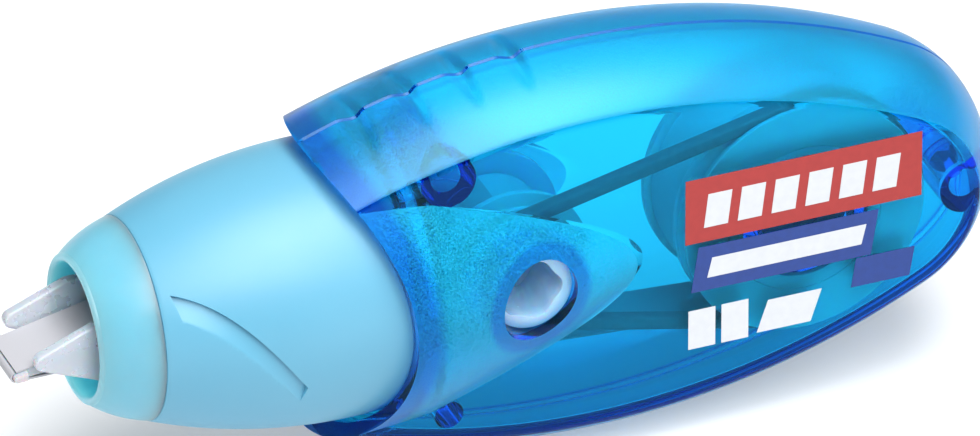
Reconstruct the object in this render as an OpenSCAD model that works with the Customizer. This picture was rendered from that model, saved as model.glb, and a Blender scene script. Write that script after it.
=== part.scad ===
// Twist-cap correction tape.
// Stations along X run from the mouth of the nose guard (0) towards the tail.
// Depths across the body are counted from the parting plane towards the left side.

/* [Casing] */
// Radius of the long arcs of the side outline
casing_arc_r = 60.5; // [59.5:0.5:61.5]
// Half height at the crest
casing_half_h = 16.3; // [16.2:0.1:16.8]
// Station of the crest
crest_x = 39.8; // [39.6:0.1:40.4]
// Half width across the flat side windows
panel_half_w = 7.4; // [7.4:0.05:8]
// Radius of the crown across the top and bottom
crown_r = 11; // [10.8:0.1:13]
// Radius of the rounded tail
tail_r = 10.75; // [10.5:0.05:10.85]
// Wall of the crowned shell
casing_wall = 1.3; // [1:0.05:1.3]

/* [Nose fairing] */
// Largest radius of the round fairing
fairing_r = 12.3; // [12.2:0.05:12.6]
// Station of that radius
fairing_crest_x = 17; // [16:0.25:18]
// Radius of the fairing's side arc
fairing_arc_r = 78; // [74:1:84]
// Station where the fairing's straight taper begins
taper_x = 25.8; // [25.8:0.1:26.4]
// Station where the taper runs into the side windows
taper_end_x = 47.5; // [46.5:0.25:48.5]
// Wall of the fairing
fairing_wall = 1.1; // [0.9:0.05:1.2]
// Station of the front lip at top and bottom
lip_x = 18; // [17.6:0.1:18.6]
// How far the lip is cut back at the sides
lip_sweep = 5; // [4:0.25:5.25]

/* [Grip] */
// Number of grip notches across the top
notch_count = 4; // [2:1:5]
// Station of the first notch
notch_x = 22.6; // [22:0.2:24]
// Distance between notches
notch_pitch = 4.25; // [3.5:0.05:4.6]
// Radius of a notch at the parting plane
notch_r = 1; // [0.8:0.05:1.4]
// Depth of a notch at the parting plane
notch_depth = 0.45; // [0.3:0.05:0.6]
// Length of a notch down each side
notch_l = 4.4; // [3.5:0.1:5]
// Radius of a notch at its lower end
notch_tip_r = 0.2; // [0.15:0.05:0.4]
// Lean of a notch down from the seam
notch_lean = 13.5; // [11:0.5:15]
// How far a notch starts past the parting plane
notch_over = 0.4; // [0.35:0.05:0.6]

/* [Twist sleeve] */
// Front edge of the sleeve
sleeve_front_x = 4.5; // [4.3:0.05:4.7]
// Outer radius at the front edge
sleeve_front_r = 7.9; // [7.8:0.05:8.2]
// Radius of the sleeve's outer arc
sleeve_arc_r = 42; // [40:1:46]
// Inner radius of the cam tube
cam_r = 6.5; // [6.45:0.05:6.55]
// Wall of the cam tube
cam_wall = 1.2; // [1:0.05:1.25]
// Rear end of the cam tube
cam_rear_x = 17.5; // [17.2:0.1:18.5]
// Front end of the annular pocket behind the sleeve's nose
pocket_x = 11; // [10.8:0.1:11.4]
// Turn of the sleeve from open to closed
twist_deg = 90; // [80:5:100]

/* [Tip guard] */
// Radius of the mouth
mouth_r = 5.2; // [5.1:0.05:5.3]
// Outer radius at the mouth
guard_lip_r = 5.8; // [5.7:0.05:6]
// Outer radius of the guard ring at its rear
guard_ring_r = 7.75; // [7.5:0.05:7.8]
// Radius of the rounding of the guard ring
guard_arc_r = 10; // [8:0.5:12]
// Wall of the tube that slides in the sleeve
guard_wall = 1; // [0.95:0.01:1]
// Rear end of that tube
guard_rear_x = 16.5; // [16.2:0.1:17]
// Travel of the guard
guard_travel = 7; // [6.5:0.1:7.2]
// Station of the cam lugs
lug_x = 14.4; // [14.2:0.1:14.6]
// Radius of a cam lug
lug_r = 1; // [0.8:0.05:1.1]
// Reach of a cam lug from the axis
lug_reach_r = 7.4; // [7.2:0.05:7.5]
// Front end of the guard's keyways
keyway_front_x = 4; // [3.5:0.1:4.2]

/* [Nose collar] */
// Outer radius of the collar, where the sleeve turns
collar_r = 8.9; // [8.8:0.05:9]
// Wall of the collar
collar_wall = 0.8; // [0.7:0.05:0.85]
// Front end of the collar
collar_front_x = 12; // [11.8:0.1:12.5]
// Front face of the collar's rear flange
collar_flange_x = 24.3; // [24.2:0.05:24.35]
// Thickness of that flange
collar_flange_t = 0.8; // [0.7:0.05:0.85]
// Casing left round that flange
flange_bed = 0.8; // [0.75:0.05:1]
// Station of the retaining bead
bead_x = 20.5; // [20.2:0.1:20.8]
// Height of the retaining bead
bead_h = 0.35; // [0.25:0.05:0.45]
// Width of the retaining bead
bead_w = 1; // [0.8:0.1:1.2]

/* [Tip] */
// Distance from the axis to a fin's inner face
fin_in_y = 2.8; // [2.8:0.01:2.9]
// Thickness of a fin
fin_t = 0.9; // [0.7:0.05:0.95]
// Half height of a fin inside the guard
fin_half_h = 2.5; // [2.4:0.05:2.6]
// Front end of the fins
fin_front_x = -4.4; // [-4.6:0.1:-4]
// Radius of a fin's round front end
fin_nose_r = 0.7; // [0.5:0.05:0.9]
// Station where the fins reach their full height
fin_full_x = 0.6; // [0:0.1:1]
// Half thickness of the web between the fins
web_half_t = 0.6; // [0.5:0.05:0.7]
// Front edge of the web
web_front_x = 4; // [3.5:0.1:4.5]
// Half height of the key rails
rail_half_h = 0.9; // [0.7:0.05:1]
// Reach of the key rails past the mouth's radius
rail_depth = 0.3; // [0.2:0.02:0.3]
// Front end of the key rails
rail_front_x = 4.6; // [4.5:0.1:5]
// Front face of the cross bar
bar_x = 20; // [19.8:0.1:20.4]
// Half height of the cross bar
bar_half_h = 1.4; // [1.2:0.05:1.5]
// Station of the tape pin between the fins
tape_pin_x = 18; // [17:0.1:18.6]
// Height of the tape pin
tape_pin_z = -2; // [-2.05:0.05:-1.9]
// Radius of the tape pin
tape_pin_r = 0.4; // [0.3:0.05:0.45]
// Station of the blade's edge
blade_front_x = -5.8; // [-6:0.1:-5.7]
// Height of the blade's edge
blade_front_z = -1.4; // [-1.5:0.1:-1.2]
// Radius of the blade's rounded edge
blade_edge_r = 0.25; // [0.2:0.05:0.3]
// Half thickness of the blade at its root
blade_half_t = 0.9; // [0.8:0.05:1]
// Length of the wider foot behind the edge
foot_l = 1.1; // [0.8:0.05:1.1]
// How far the foot stands out at each side
foot_out = 0.5; // [0.2:0.05:0.6]

/* [Tape] */
// Width of the tape
tape_w = 5; // [4.2:0.1:5]
// Thickness drawn for the tape
tape_t = 0.15; // [0.1:0.01:0.2]
// Outer radius of the fresh roll
roll_r = 9.3; // [8:0.1:9.5]
// Outer radius of the used roll
used_roll_r = 4.6; // [3.9:0.1:5.4]
// Wall of the tape core
core_wall = 0.8; // [0.5:0.05:1]
// Station of the lower guide post
guide_x = 28.6; // [28.4:0.1:29]
// Height of the lower guide post
guide_z = -6.6; // [-6.8:0.1:-6.4]
// Radius of the guide post
guide_r = 0.9; // [0.7:0.05:1]

/* [Supply reel] */
// Station of the supply axle
supply_x = 56.8; // [56.5:0.1:57]
// Radius of the supply axle post
supply_post_r = 5; // [4.8:0.05:5.1]
// Wall of the supply axle post
supply_post_wall = 1.2; // [1:0.05:1.4]
// Wall of the spool's hub
supply_hub_wall = 1.15; // [0.9:0.05:1.2]
// Radius of the flanges
supply_flange_r = 9.75; // [9.65:0.05:9.8]
// Thickness of the far flanges
flange_t = 0.65; // [0.5:0.05:0.7]
// Bottom radius of the belt groove
supply_groove_r = 8.8; // [8.5:0.05:8.9]

/* [Take-up reel] */
// Station of the take-up axle
take_up_x = 33.8; // [33.6:0.1:34]
// Radius of the take-up axle post
take_up_post_r = 1.6; // [1.4:0.05:1.7]
// Step from the journal in the window to the hub
hub_step = 0.1; // [0.1:0.05:0.3]
// Radius of the flanges
take_up_flange_r = 6.2; // [6:0.1:6.3]
// Bottom radius of the belt groove
take_up_groove_r = 3.7; // [3.6:0.05:3.9]
// Radius of the belt groove's rims
take_up_rim_r = 5; // [4.9:0.1:5.4]
// Depth of the hub's end face in the window
hub_face_y = 7.8; // [7.6:0.1:8]
// Radius of the tool socket in the hub
socket_r = 2.2; // [2:0.05:2.3]
// Depth of the tool socket
socket_depth = 4.6; // [4:0.1:4.7]
// Number of keyways round the tool socket
socket_keys = 5; // [3:1:5]
// Radius of a keyway
socket_key_r = 0.3; // [0.2:0.05:0.3]
// Radius of the rewind window
window_r = 3.3; // [3.2:0.02:3.4]
// Wall of the boss round the window
window_wall = 1; // [0.8:0.05:1.1]
// Shoulder that a reel runs against
shoulder_w = 1; // [0.6:0.05:1.1]

/* [Belt] */
// Thickness of the belt
belt_t = 1.1; // [0.9:0.05:1.15]
// Width of the belt
belt_w = 1.2; // [0.9:0.05:1.2]
// Inner face of the belt groove, from the parting plane
groove_y = 3.75; // [3.65:0.05:3.8]
// Width of the belt groove
groove_w = 1.4; // [1.35:0.05:1.45]
// Rims at each side of the groove
rim_t = 0.4; // [0.3:0.05:0.45]

/* [Casing joints] */
// Station of the front pin joints
front_pin_x = 27.6; // [27.5:0.1:28]
// Height of the front pin joints
front_pin_z = 10.3; // [10.2:0.1:10.6]
// Station of the tail pin joint
tail_pin_x = 69.8; // [69.4:0.1:70]
// Outer radius of a boss
boss_r = 2.2; // [1.9:0.05:2.2]
// Radius of a pin
pin_r = 1.15; // [0.9:0.05:1.3]
// Reach of a pin past the parting plane
pin_reach = 2.5; // [2:0.1:4]
// Depth of a pin's socket from the parting plane
pin_socket_y = 5; // [4.5:0.1:5.2]
// Thickness of a rib that holds the collar
seat_rib_t = 0.6; // [0.5:0.05:0.7]

/* [Clearances] */
// Radial clearance of a turning fit
running_gap = 0.05; // [0.03:0.01:0.08]
// Clearance between pieces that move past each other
moving_gap = 0.3; // [0.25:0.01:0.32]
// Clearance between pieces that are seated together
seat_gap = 0.05; // [0.03:0.01:0.08]
// Clearance between the belt and the bottom of a groove
belt_gap = 0.1; // [0.05:0.01:0.15]

/* [Hidden] */
$fn = 96;

// Reach of cutting blocks, and steps of a curved cut or bend
far = 100;
slot_steps = 16;
bend_steps = 8;
loop_steps = 36;

// Side outline
arc_drop = casing_arc_r - casing_half_h;
tail_reach = sqrt((casing_arc_r - tail_r) ^ 2 - arc_drop ^ 2);
tail_x = crest_x + tail_reach;
tail_end_x = tail_x + tail_r;
panel_in_y = panel_half_w - casing_wall;
taper_slope = (fairing_radius(taper_x) - panel_in_y) / (taper_end_x - taper_x);
lip_cut_r = (fairing_r ^ 2 + lip_sweep ^ 2) / (2 * lip_sweep);
lip_cut_x = lip_x + lip_sweep - lip_cut_r;

// Collar and its seat in the casing
collar_in_r = collar_r - collar_wall;
collar_rear_x = collar_flange_x + collar_flange_t;
seat_front_x = collar_flange_x - seat_gap;
seat_rear_x = collar_rear_x + seat_gap;
seat_front_r = collar_r + moving_gap;
seat_rear_r = collar_in_r - moving_gap;
seat_out_r = fairing_radius(seat_rear_x + seat_rib_t) - fairing_wall / 2;
flange_seat_r = seat_out_r - flange_bed;
collar_flange_r = flange_seat_r - seat_gap;

// Sleeve and guard
bearing_r = collar_r + running_gap;
sleeve_rear_x = seat_front_x - seat_rib_t - moving_gap;
sleeve_rear_r = fairing_radius(sleeve_rear_x) - fairing_wall - moving_gap;
guard_tube_r = mouth_r + guard_wall;
ring_rear_x = sleeve_front_x - 2 * running_gap;
rail_reach = mouth_r + rail_depth;
keyway_r = rail_reach + moving_gap - seat_gap;
bar_reach = collar_r - collar_wall / 2;

// Reel stack, as depths towards the left side
tape_side_y = tape_w / 2 + moving_gap;
reel_far_y = tape_side_y + flange_t;
groove_out_y = groove_y + groove_w;
rim_out_y = groove_out_y + rim_t;
belt_mid_y = groove_y + groove_w / 2;
boss_in_y = rim_out_y + moving_gap;
take_up_post_y = groove_y / 2;

// Reel radii
supply_belt_r = supply_groove_r + belt_gap;
take_up_belt_r = take_up_groove_r + belt_gap;
supply_bore_r = supply_post_r + running_gap;
supply_hub_r = supply_bore_r + supply_hub_wall;
core_r = supply_hub_r + core_wall;
take_up_bore_r = take_up_post_r + running_gap;
journal_r = window_r - running_gap;
take_up_hub_r = journal_r + hub_step;

// Tape route, in X and Z
tape_off = seat_gap + tape_t / 2;
blade_root_x = web_front_x - seat_gap;
blade_half_w = tape_w / 2;
edge = [blade_front_x + blade_edge_r, blade_front_z];
edge_path_r = blade_edge_r + tape_off;
tape_front_x = blade_front_x - seat_gap - tape_t;
mid_x = (tail_end_x + tape_front_x) / 2;

// Colours of the sub-parts
blue_clear = [0.05, 0.45, 0.85, 0.6];
cyan_pale = [0.6, 0.88, 0.93];
white_milky = [0.93, 0.95, 0.95];
white_paper = [0.97, 0.97, 0.95];
slate_dark = [0.16, 0.2, 0.24];
carrier_pale = [0.8, 0.86, 0.88];

// Outer radius of the fairing at a station
function fairing_radius(x) =
    fairing_r - fairing_arc_r + sqrt(fairing_arc_r ^ 2 - (x - fairing_crest_x) ^ 2);

// Radius of the fairing's straight taper at a station
function taper_radius(x) = fairing_radius(taper_x) - taper_slope * (x - taper_x);

// Height of the casing's outline at a station
function outline_height(x) = sqrt(casing_arc_r ^ 2 - (x - crest_x) ^ 2) - arc_drop;

// Centre of an arc of radius r that bulges up from a to b
function bulge_centre(a, b, r) =
    let (chord = b - a, rise = sqrt(r ^ 2 - (norm(chord) / 2) ^ 2))
    (a + b) / 2 + rise * [chord.y, -chord.x] / norm(chord);

// Direction, 0 to 360, of the touching points of a line on one side of two circles
function touch_angle(c1, r1, c2, r2, side) =
    let (d = c2 - c1)
    (atan2(d.y, d.x) + side * acos((r1 - r2) / norm(d)) + 360) % 360;

// Point on a circle
function on_circle(c, r, angle) = c + r * [cos(angle), sin(angle)];

// Points round a circle between two directions
function bend(c, r, from, to, steps = bend_steps) =
    [for (i = [0:steps]) on_circle(c, r, from + (to - from) * i / steps)];

// Closed outline of a strip of thickness t along a route
function strip(route, t) =
    let (
        last = len(route) - 1,
        normals = [for (i = [0:last])
            let (d = route[min(i + 1, last)] - route[max(i - 1, 0)])
            [-d.y, d.x] / norm(d)]
    )
    concat(
        [for (i = [0:last]) route[i] + normals[i] * t / 2],
        [for (i = [last:-1:0]) route[i] - normals[i] * t / 2]
    );

// Moves the middle of the whole part to the origin
module placed() {
    translate([-mid_x, 0, 0]) children();
}

// Solid turned about the nose axis, from a shape in station and radius
module nose_turned() {
    rotate([0, 90, 0]) rotate_extrude() mirror([1, -1, 0]) children();
}

// Solid turned about a cross axle, from points in radius and depth
module axle_turned(x, points) {
    translate([x, 0, 0]) rotate([90, 0, 0]) rotate_extrude() polygon(points);
}

// Round bar across the body between two depths
module cross_bar(x, z, r, from, to) {
    translate([x, -from, z]) rotate([90, 0, 0]) cylinder(h = to - from, r = r);
}

// Plate with an outline in X and Z between two depths
module side_plate(from, to) {
    translate([0, -from, 0]) rotate([90, 0, 0]) linear_extrude(to - from) children();
}

// Crowned disc of the casing's section
module crowned_disc(x, z, r, half_w, crown) {
    translate([x, 0, z]) rotate([90, 0, 0]) rotate_extrude() intersection() {
        translate([0, -half_w]) square([r, 2 * half_w]);
        union() {
            translate([r - crown, 0]) circle(crown);
            if (r > crown) translate([0, -half_w]) square([r - crown, 2 * half_w]);
        }
    }
}

// Crowned body, drawn in by an inset
module body_form(inset) {
    half_w = panel_half_w - inset;
    crown = crown_r - inset;
    tail_cut_x = tail_x + far * tail_reach / arc_drop;
    intersection() {
        crowned_disc(crest_x, -arc_drop, casing_arc_r - inset, half_w, crown);
        crowned_disc(crest_x, arc_drop, casing_arc_r - inset, half_w, crown);
        side_plate(-far, far)
            polygon([[-far, -far], [tail_cut_x, -far], [tail_x, 0], [tail_cut_x, far], [-far, far]]);
    }
    crowned_disc(tail_x, 0, tail_r - inset, half_w, crown);
}

// Round nose fairing, drawn in by an inset, up to where it has narrowed to a radius
module fairing_form(inset, end_r) {
    end_x = taper_x + (fairing_radius(taper_x) - inset - end_r) / taper_slope;
    nose_turned() intersection() {
        polygon([[0, 0], [0, taper_radius(0) - inset], [end_x, end_r], [end_x, 0]]);
        translate([fairing_crest_x, fairing_r - fairing_arc_r]) circle(fairing_arc_r - inset);
    }
}

// Outer form of the closed casing
module casing_form() {
    body_form(0);
    fairing_form(0, panel_in_y);
}

// Grip notches of one half, which lean down from the seam
module grip_notches(left) {
    for (i = [0:notch_count - 1]) {
        x = notch_x + i * notch_pitch;
        mirror([0, left ? 0 : 1, 0]) translate([x, 0, outline_height(x) + notch_r - notch_depth])
            rotate([90 + notch_lean, 0, 0]) translate([0, 0, -notch_over])
            cylinder(h = notch_l + notch_over, r1 = notch_r, r2 = notch_tip_r);
    }
}

// Shell of the closed casing
module casing_shell() {
    difference() {
        casing_form();
        body_form(casing_wall);
        fairing_form(fairing_wall, panel_in_y / 2);
        cross_bar(lip_cut_x, 0, lip_cut_r, -far, far);
    }
}

// Ribs that hold the collar's flange and stop the cross bar
module collar_seat() {
    nose_turned() polygon([
        [seat_front_x - seat_rib_t, seat_front_r], [seat_front_x - seat_rib_t, seat_out_r],
        [seat_rear_x + seat_rib_t, seat_out_r], [seat_rear_x + seat_rib_t, seat_rear_r],
        [seat_rear_x, seat_rear_r], [seat_rear_x, flange_seat_r],
        [seat_front_x, flange_seat_r], [seat_front_x, seat_front_r]
    ]);
}

// Half of the shell and of the collar seat
module casing_half(left) {
    difference() {
        intersection() {
            translate([-far, left ? -2 * far : 0, -far]) cube(2 * far);
            union() {
                casing_shell();
                collar_seat();
            }
        }
        grip_notches(left);
    }
}

// Left casing half, with the rewind window, two sockets and one pin
module left_casing() color(blue_clear) placed() difference() {
    union() {
        casing_half(true);
        intersection() {
            casing_form();
            union() {
                cross_bar(front_pin_x, front_pin_z, boss_r, 0, far);
                cross_bar(tail_pin_x, 0, boss_r, 0, far);
                cross_bar(front_pin_x, -front_pin_z, pin_r, -pin_reach, far);
                cross_bar(take_up_x, 0, window_r + window_wall, boss_in_y, far);
                cross_bar(supply_x, 0, supply_post_r - supply_post_wall - seat_gap, groove_y, far);
            }
        }
    }
    cross_bar(front_pin_x, front_pin_z, pin_r + seat_gap, -far, pin_socket_y);
    cross_bar(tail_pin_x, 0, pin_r + seat_gap, -far, pin_socket_y);
    cross_bar(take_up_x, 0, window_r, 0, far);
}

// Right casing half, with the axle posts, the guide post, two pins and one socket
module right_casing() color(blue_clear) placed() difference() {
    union() {
        casing_half(false);
        intersection() {
            casing_form();
            union() {
                cross_bar(front_pin_x, front_pin_z, boss_r, -far, 0);
                cross_bar(front_pin_x, front_pin_z, pin_r, -far, pin_reach);
                cross_bar(tail_pin_x, 0, boss_r, -far, 0);
                cross_bar(tail_pin_x, 0, pin_r, -far, pin_reach);
                cross_bar(front_pin_x, -front_pin_z, boss_r, -far, 0);
                cross_bar(take_up_x, 0, take_up_post_r, -far, take_up_post_y);
                cross_bar(take_up_x, 0, take_up_post_r + shoulder_w, -far, -reel_far_y - moving_gap);
                cross_bar(supply_x, 0, supply_post_r, -far, groove_out_y);
                cross_bar(supply_x, 0, supply_post_r + shoulder_w, -far, -reel_far_y - moving_gap);
                cross_bar(guide_x, guide_z, guide_r, -far, tape_side_y);
            }
        }
    }
    cross_bar(front_pin_x, -front_pin_z, pin_r + seat_gap, -pin_socket_y, far);
    cross_bar(supply_x, 0, supply_post_r - supply_post_wall, -panel_in_y, far);
}

// Fixed tube that the sleeve turns on, notched for the tip holder's cross bar
module nose_collar() color(white_milky) placed() difference() {
    bead_front_x = bead_x - bead_w / 2;
    bead_rear_x = bead_x + bead_w / 2;
    nose_turned() polygon([
        [collar_front_x, collar_in_r], [collar_front_x, collar_r], [bead_front_x, collar_r],
        [bead_front_x, collar_r + bead_h], [bead_rear_x, collar_r + bead_h], [bead_rear_x, collar_r],
        [collar_flange_x, collar_r], [collar_flange_x, collar_flange_r],
        [collar_rear_x, collar_flange_r], [collar_rear_x, collar_in_r]
    ]);
    side_plate(-far, far) translate([bar_x - seat_gap, -bar_half_h - seat_gap])
        square([far, 2 * (bar_half_h + seat_gap)]);
}

// Helical slot through the cam tube that a lug runs in
module cam_slot() {
    lug_room_r = lug_r + moving_gap;
    slot_l = guard_travel + 2 * lug_room_r;
    deg_per_mm = twist_deg / guard_travel;
    helix_deg = atan(deg_per_mm * PI / 180 * cam_r);
    slot_w = 2 * lug_room_r / cos(helix_deg);
    slot_in_r = cam_r - moving_gap;
    slot_out_r = cam_r + cam_wall + 2 * running_gap;
    translate([lug_x + lug_room_r - slot_l, 0, 0])
        rotate([(guard_travel + lug_room_r) * deg_per_mm, 0, 0]) rotate([0, 90, 0])
            linear_extrude(slot_l, twist = slot_l * deg_per_mm, slices = slot_steps, segments = 4)
                translate([-slot_out_r, -slot_w / 2]) square([slot_out_r - slot_in_r, slot_w]);
}

// Turning part of the nose, with the cam tube inside
module twist_sleeve() color(cyan_pale) placed() difference() {
    bead_front_x = bead_x - bead_w / 2 - moving_gap;
    bead_rear_x = bead_x + bead_w / 2 + moving_gap;
    bead_room_r = bearing_r + bead_h + running_gap;
    front = [sleeve_front_x, sleeve_front_r];
    rear = [sleeve_rear_x, sleeve_rear_r];
    nose_turned() intersection() {
        translate(bulge_centre(front, rear, sleeve_arc_r)) circle(sleeve_arc_r);
        polygon([
            [sleeve_front_x, cam_r], [sleeve_front_x, fairing_r], [sleeve_rear_x, fairing_r],
            [sleeve_rear_x, bearing_r], [bead_rear_x, bearing_r], [bead_rear_x, bead_room_r],
            [bead_front_x, bead_room_r], [bead_front_x, bearing_r], [pocket_x, bearing_r],
            [pocket_x, cam_r + cam_wall], [cam_rear_x, cam_r + cam_wall], [cam_rear_x, cam_r]
        ]);
    }
    for (half_turn = [0, 180]) rotate([half_turn, 0, 0]) cam_slot();
}

// Sliding front ring of the nose, with its tube, cam lugs and keyways
module tip_guard() color(cyan_pale) placed() difference() {
    lip = [0, guard_lip_r];
    ring = [ring_rear_x, guard_ring_r];
    lug_root_r = guard_tube_r - guard_wall / 2;
    union() {
        nose_turned() {
            intersection() {
                translate(bulge_centre(lip, ring, guard_arc_r)) circle(guard_arc_r);
                translate([0, mouth_r]) square([ring_rear_x, guard_ring_r - mouth_r]);
            }
            translate([ring_rear_x / 2, mouth_r]) square([guard_rear_x - ring_rear_x / 2, guard_wall]);
        }
        for (half_turn = [0, 180]) rotate([half_turn, 0, 0]) translate([lug_x, 0, lug_root_r])
            cylinder(h = lug_reach_r - lug_root_r, r = lug_r);
    }
    side_plate(-keyway_r, keyway_r) translate([keyway_front_x, -rail_half_h - moving_gap])
        square([far, 2 * (rail_half_h + moving_gap)]);
}

// Side outline of a tip fin
module fin_outline() {
    nose_x = fin_front_x + fin_nose_r;
    translate([nose_x, 0]) circle(fin_nose_r);
    polygon([
        [nose_x, fin_nose_r], [nose_x, -fin_nose_r], [fin_full_x, -fin_half_h],
        [collar_rear_x, -fin_half_h], [collar_rear_x, fin_half_h], [fin_full_x, fin_half_h]
    ]);
}

// Flat bar outline from a station back to the collar's rear
module bar_outline(from_x, half_h) {
    translate([from_x, -half_h]) square([collar_rear_x - from_x, 2 * half_h]);
}

// Fins, web, key rails, tape pin and cross bar that carry the blade
module tip_holder() color(white_milky) placed() {
    for (side = [0, 1]) mirror([0, side, 0]) {
        side_plate(fin_in_y, fin_in_y + fin_t) fin_outline();
        side_plate(fin_in_y, rail_reach) bar_outline(rail_front_x, rail_half_h);
        side_plate(fin_in_y, bar_reach) bar_outline(bar_x, bar_half_h);
    }
    side_plate(-fin_in_y, fin_in_y) bar_outline(web_front_x, web_half_t);
    cross_bar(tape_pin_x, tape_pin_z, tape_pin_r, -fin_in_y, fin_in_y);
}

// Side outline of the blade, cut off behind a station
module blade_outline(end_x) {
    top = [blade_root_x, blade_half_t];
    bottom = [blade_root_x, -blade_half_t];
    intersection() {
        union() {
            translate(edge) circle(blade_edge_r);
            polygon([
                top, on_circle(edge, blade_edge_r, touch_angle(edge, blade_edge_r, top, 0, 1)),
                on_circle(edge, blade_edge_r, touch_angle(edge, blade_edge_r, bottom, 0, -1)), bottom
            ]);
        }
        translate([blade_front_x - 1, -far]) square([end_x - blade_front_x + 1, 2 * far]);
    }
}

// Chisel tongue that presses the tape down, with a wider foot at its edge
module applicator_blade() color(white_milky) placed() {
    foot_half_w = blade_half_w + foot_out;
    side_plate(-blade_half_w, blade_half_w) blade_outline(blade_root_x);
    side_plate(-foot_half_w, foot_half_w) blade_outline(blade_front_x + foot_l);
}

// Hub and far flange of the supply reel
module supply_spool() color(white_milky) placed() axle_turned(supply_x, [
    [supply_bore_r, -reel_far_y], [supply_flange_r, -reel_far_y], [supply_flange_r, -tape_side_y],
    [supply_hub_r, -tape_side_y], [supply_hub_r, rim_out_y], [supply_bore_r, rim_out_y]
]);

// Grooved wheel of the supply reel
module supply_pulley() color(white_milky) placed() axle_turned(supply_x, [
    [supply_hub_r, tape_side_y], [supply_flange_r, tape_side_y], [supply_flange_r, groove_y],
    [supply_groove_r, groove_y], [supply_groove_r, groove_out_y], [supply_flange_r, groove_out_y],
    [supply_flange_r, rim_out_y], [supply_hub_r, rim_out_y]
]);

// Plain ring of tape or core between two radii
module tape_ring(x, in_r, out_r) {
    axle_turned(x, [
        [in_r, -tape_w / 2], [out_r, -tape_w / 2], [out_r, tape_w / 2], [in_r, tape_w / 2]
    ]);
}

// Ring that the fresh tape is wound on
module tape_core() color(white_paper) placed() tape_ring(supply_x, supply_hub_r, core_r);

// Fresh tape on its core
module tape_roll() color(white_paper) placed() tape_ring(supply_x, core_r, roll_r);

// Spent carrier on the take-up hub
module used_tape_roll() color(carrier_pale) placed() tape_ring(take_up_x, take_up_hub_r, used_roll_r);

// Hub, far flange and tool socket of the take-up reel
module take_up_spool() color(white_milky) placed() difference() {
    socket_y = hub_face_y - socket_depth;
    axle_turned(take_up_x, [
        [0, -reel_far_y], [take_up_flange_r, -reel_far_y], [take_up_flange_r, -tape_side_y],
        [take_up_hub_r, -tape_side_y], [take_up_hub_r, rim_out_y], [journal_r, rim_out_y],
        [journal_r, hub_face_y], [0, hub_face_y]
    ]);
    cross_bar(take_up_x, 0, take_up_bore_r, -far, take_up_post_y + moving_gap);
    cross_bar(take_up_x, 0, socket_r, socket_y, far);
    for (i = [0:socket_keys - 1]) {
        key = on_circle([take_up_x, 0], socket_r, 360 * i / socket_keys);
        cross_bar(key.x, key.y, socket_key_r, socket_y, far);
    }
}

// Near flange and belt groove of the take-up reel
module take_up_pulley() color(white_milky) placed() axle_turned(take_up_x, [
    [take_up_hub_r, tape_side_y], [take_up_flange_r, tape_side_y],
    [take_up_flange_r, groove_y - rim_t], [take_up_rim_r, groove_y - rim_t],
    [take_up_rim_r, groove_y], [take_up_groove_r, groove_y],
    [take_up_groove_r, groove_out_y], [take_up_rim_r, groove_out_y],
    [take_up_rim_r, rim_out_y], [take_up_hub_r, rim_out_y]
]);

// Filled outline of a loop round both reels
module loop_outline(supply_r, take_up_r) {
    supply = [supply_x, 0];
    take_up = [take_up_x, 0];
    upper = touch_angle(supply, supply_r, take_up, take_up_r, -1);
    lower = touch_angle(supply, supply_r, take_up, take_up_r, 1);
    polygon(concat(
        bend(supply, supply_r, lower, upper + 360, loop_steps),
        bend(take_up, take_up_r, upper, lower, loop_steps)
    ));
}

// Belt between the two grooves
module drive_belt() color(slate_dark) placed()
    side_plate(belt_mid_y - belt_w / 2, belt_mid_y + belt_w / 2) difference() {
        loop_outline(supply_belt_r + belt_t, take_up_belt_r + belt_t);
        loop_outline(supply_belt_r, take_up_belt_r);
    }

// Fresh tape, from the roll under the guide post and over the tape pin, round the blade's edge
module fresh_tape_run() color(white_paper) placed() {
    roll = [supply_x, 0];
    guide = [guide_x, guide_z];
    pin = [tape_pin_x, tape_pin_z];
    root = [blade_root_x, blade_half_t + tape_off];
    roll_path_r = roll_r + tape_off;
    guide_path_r = guide_r + tape_off;
    pin_path_r = tape_pin_r + tape_off;
    roll_leave = touch_angle(roll, roll_path_r, guide, guide_path_r, 1);
    guide_leave = touch_angle(guide, guide_path_r, pin, -pin_path_r, 1);
    pin_leave = touch_angle(pin, pin_path_r, edge, -edge_path_r, -1);
    edge_leave = touch_angle(edge, edge_path_r, root, 0, 1);
    route = concat(
        [on_circle(roll, roll_path_r, roll_leave)],
        bend(guide, guide_path_r, roll_leave, guide_leave),
        bend(pin, pin_path_r, guide_leave - 180, pin_leave),
        bend(edge, edge_path_r, pin_leave + 180, edge_leave)
    );
    side_plate(-tape_w / 2, tape_w / 2) polygon(strip(route, tape_t));
}

// Spent tape, from the blade's top to the top of the take-up roll
module used_tape_run() color(carrier_pale) placed() {
    roll = [take_up_x, 0];
    root = [blade_root_x, blade_half_t + tape_off];
    roll_path_r = used_roll_r + tape_off;
    edge_top = on_circle(edge, edge_path_r, touch_angle(edge, edge_path_r, root, 0, 1));
    start = edge_top + tape_off * (root - edge_top) / norm(root - edge_top);
    finish = on_circle(roll, roll_path_r, touch_angle(roll, roll_path_r, root, 0, -1));
    side_plate(-tape_w / 2, tape_w / 2) polygon(strip([start, root, finish], tape_t));
}

left_casing();
right_casing();
nose_collar();
twist_sleeve();
tip_guard();
tip_holder();
applicator_blade();
supply_spool();
supply_pulley();
tape_core();
tape_roll();
take_up_spool();
take_up_pulley();
used_tape_roll();
drive_belt();
fresh_tape_run();
used_tape_run();
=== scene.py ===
"""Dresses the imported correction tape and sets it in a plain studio.

Stations are millimetres along X from the mouth of the nose guard towards the tail. Depths are
millimetres from the parting plane towards the left side, and heights are millimetres above the nose axis.
"""
import logging
import math
from dataclasses import dataclass
from enum import Enum
from typing import Callable, Sequence

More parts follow.
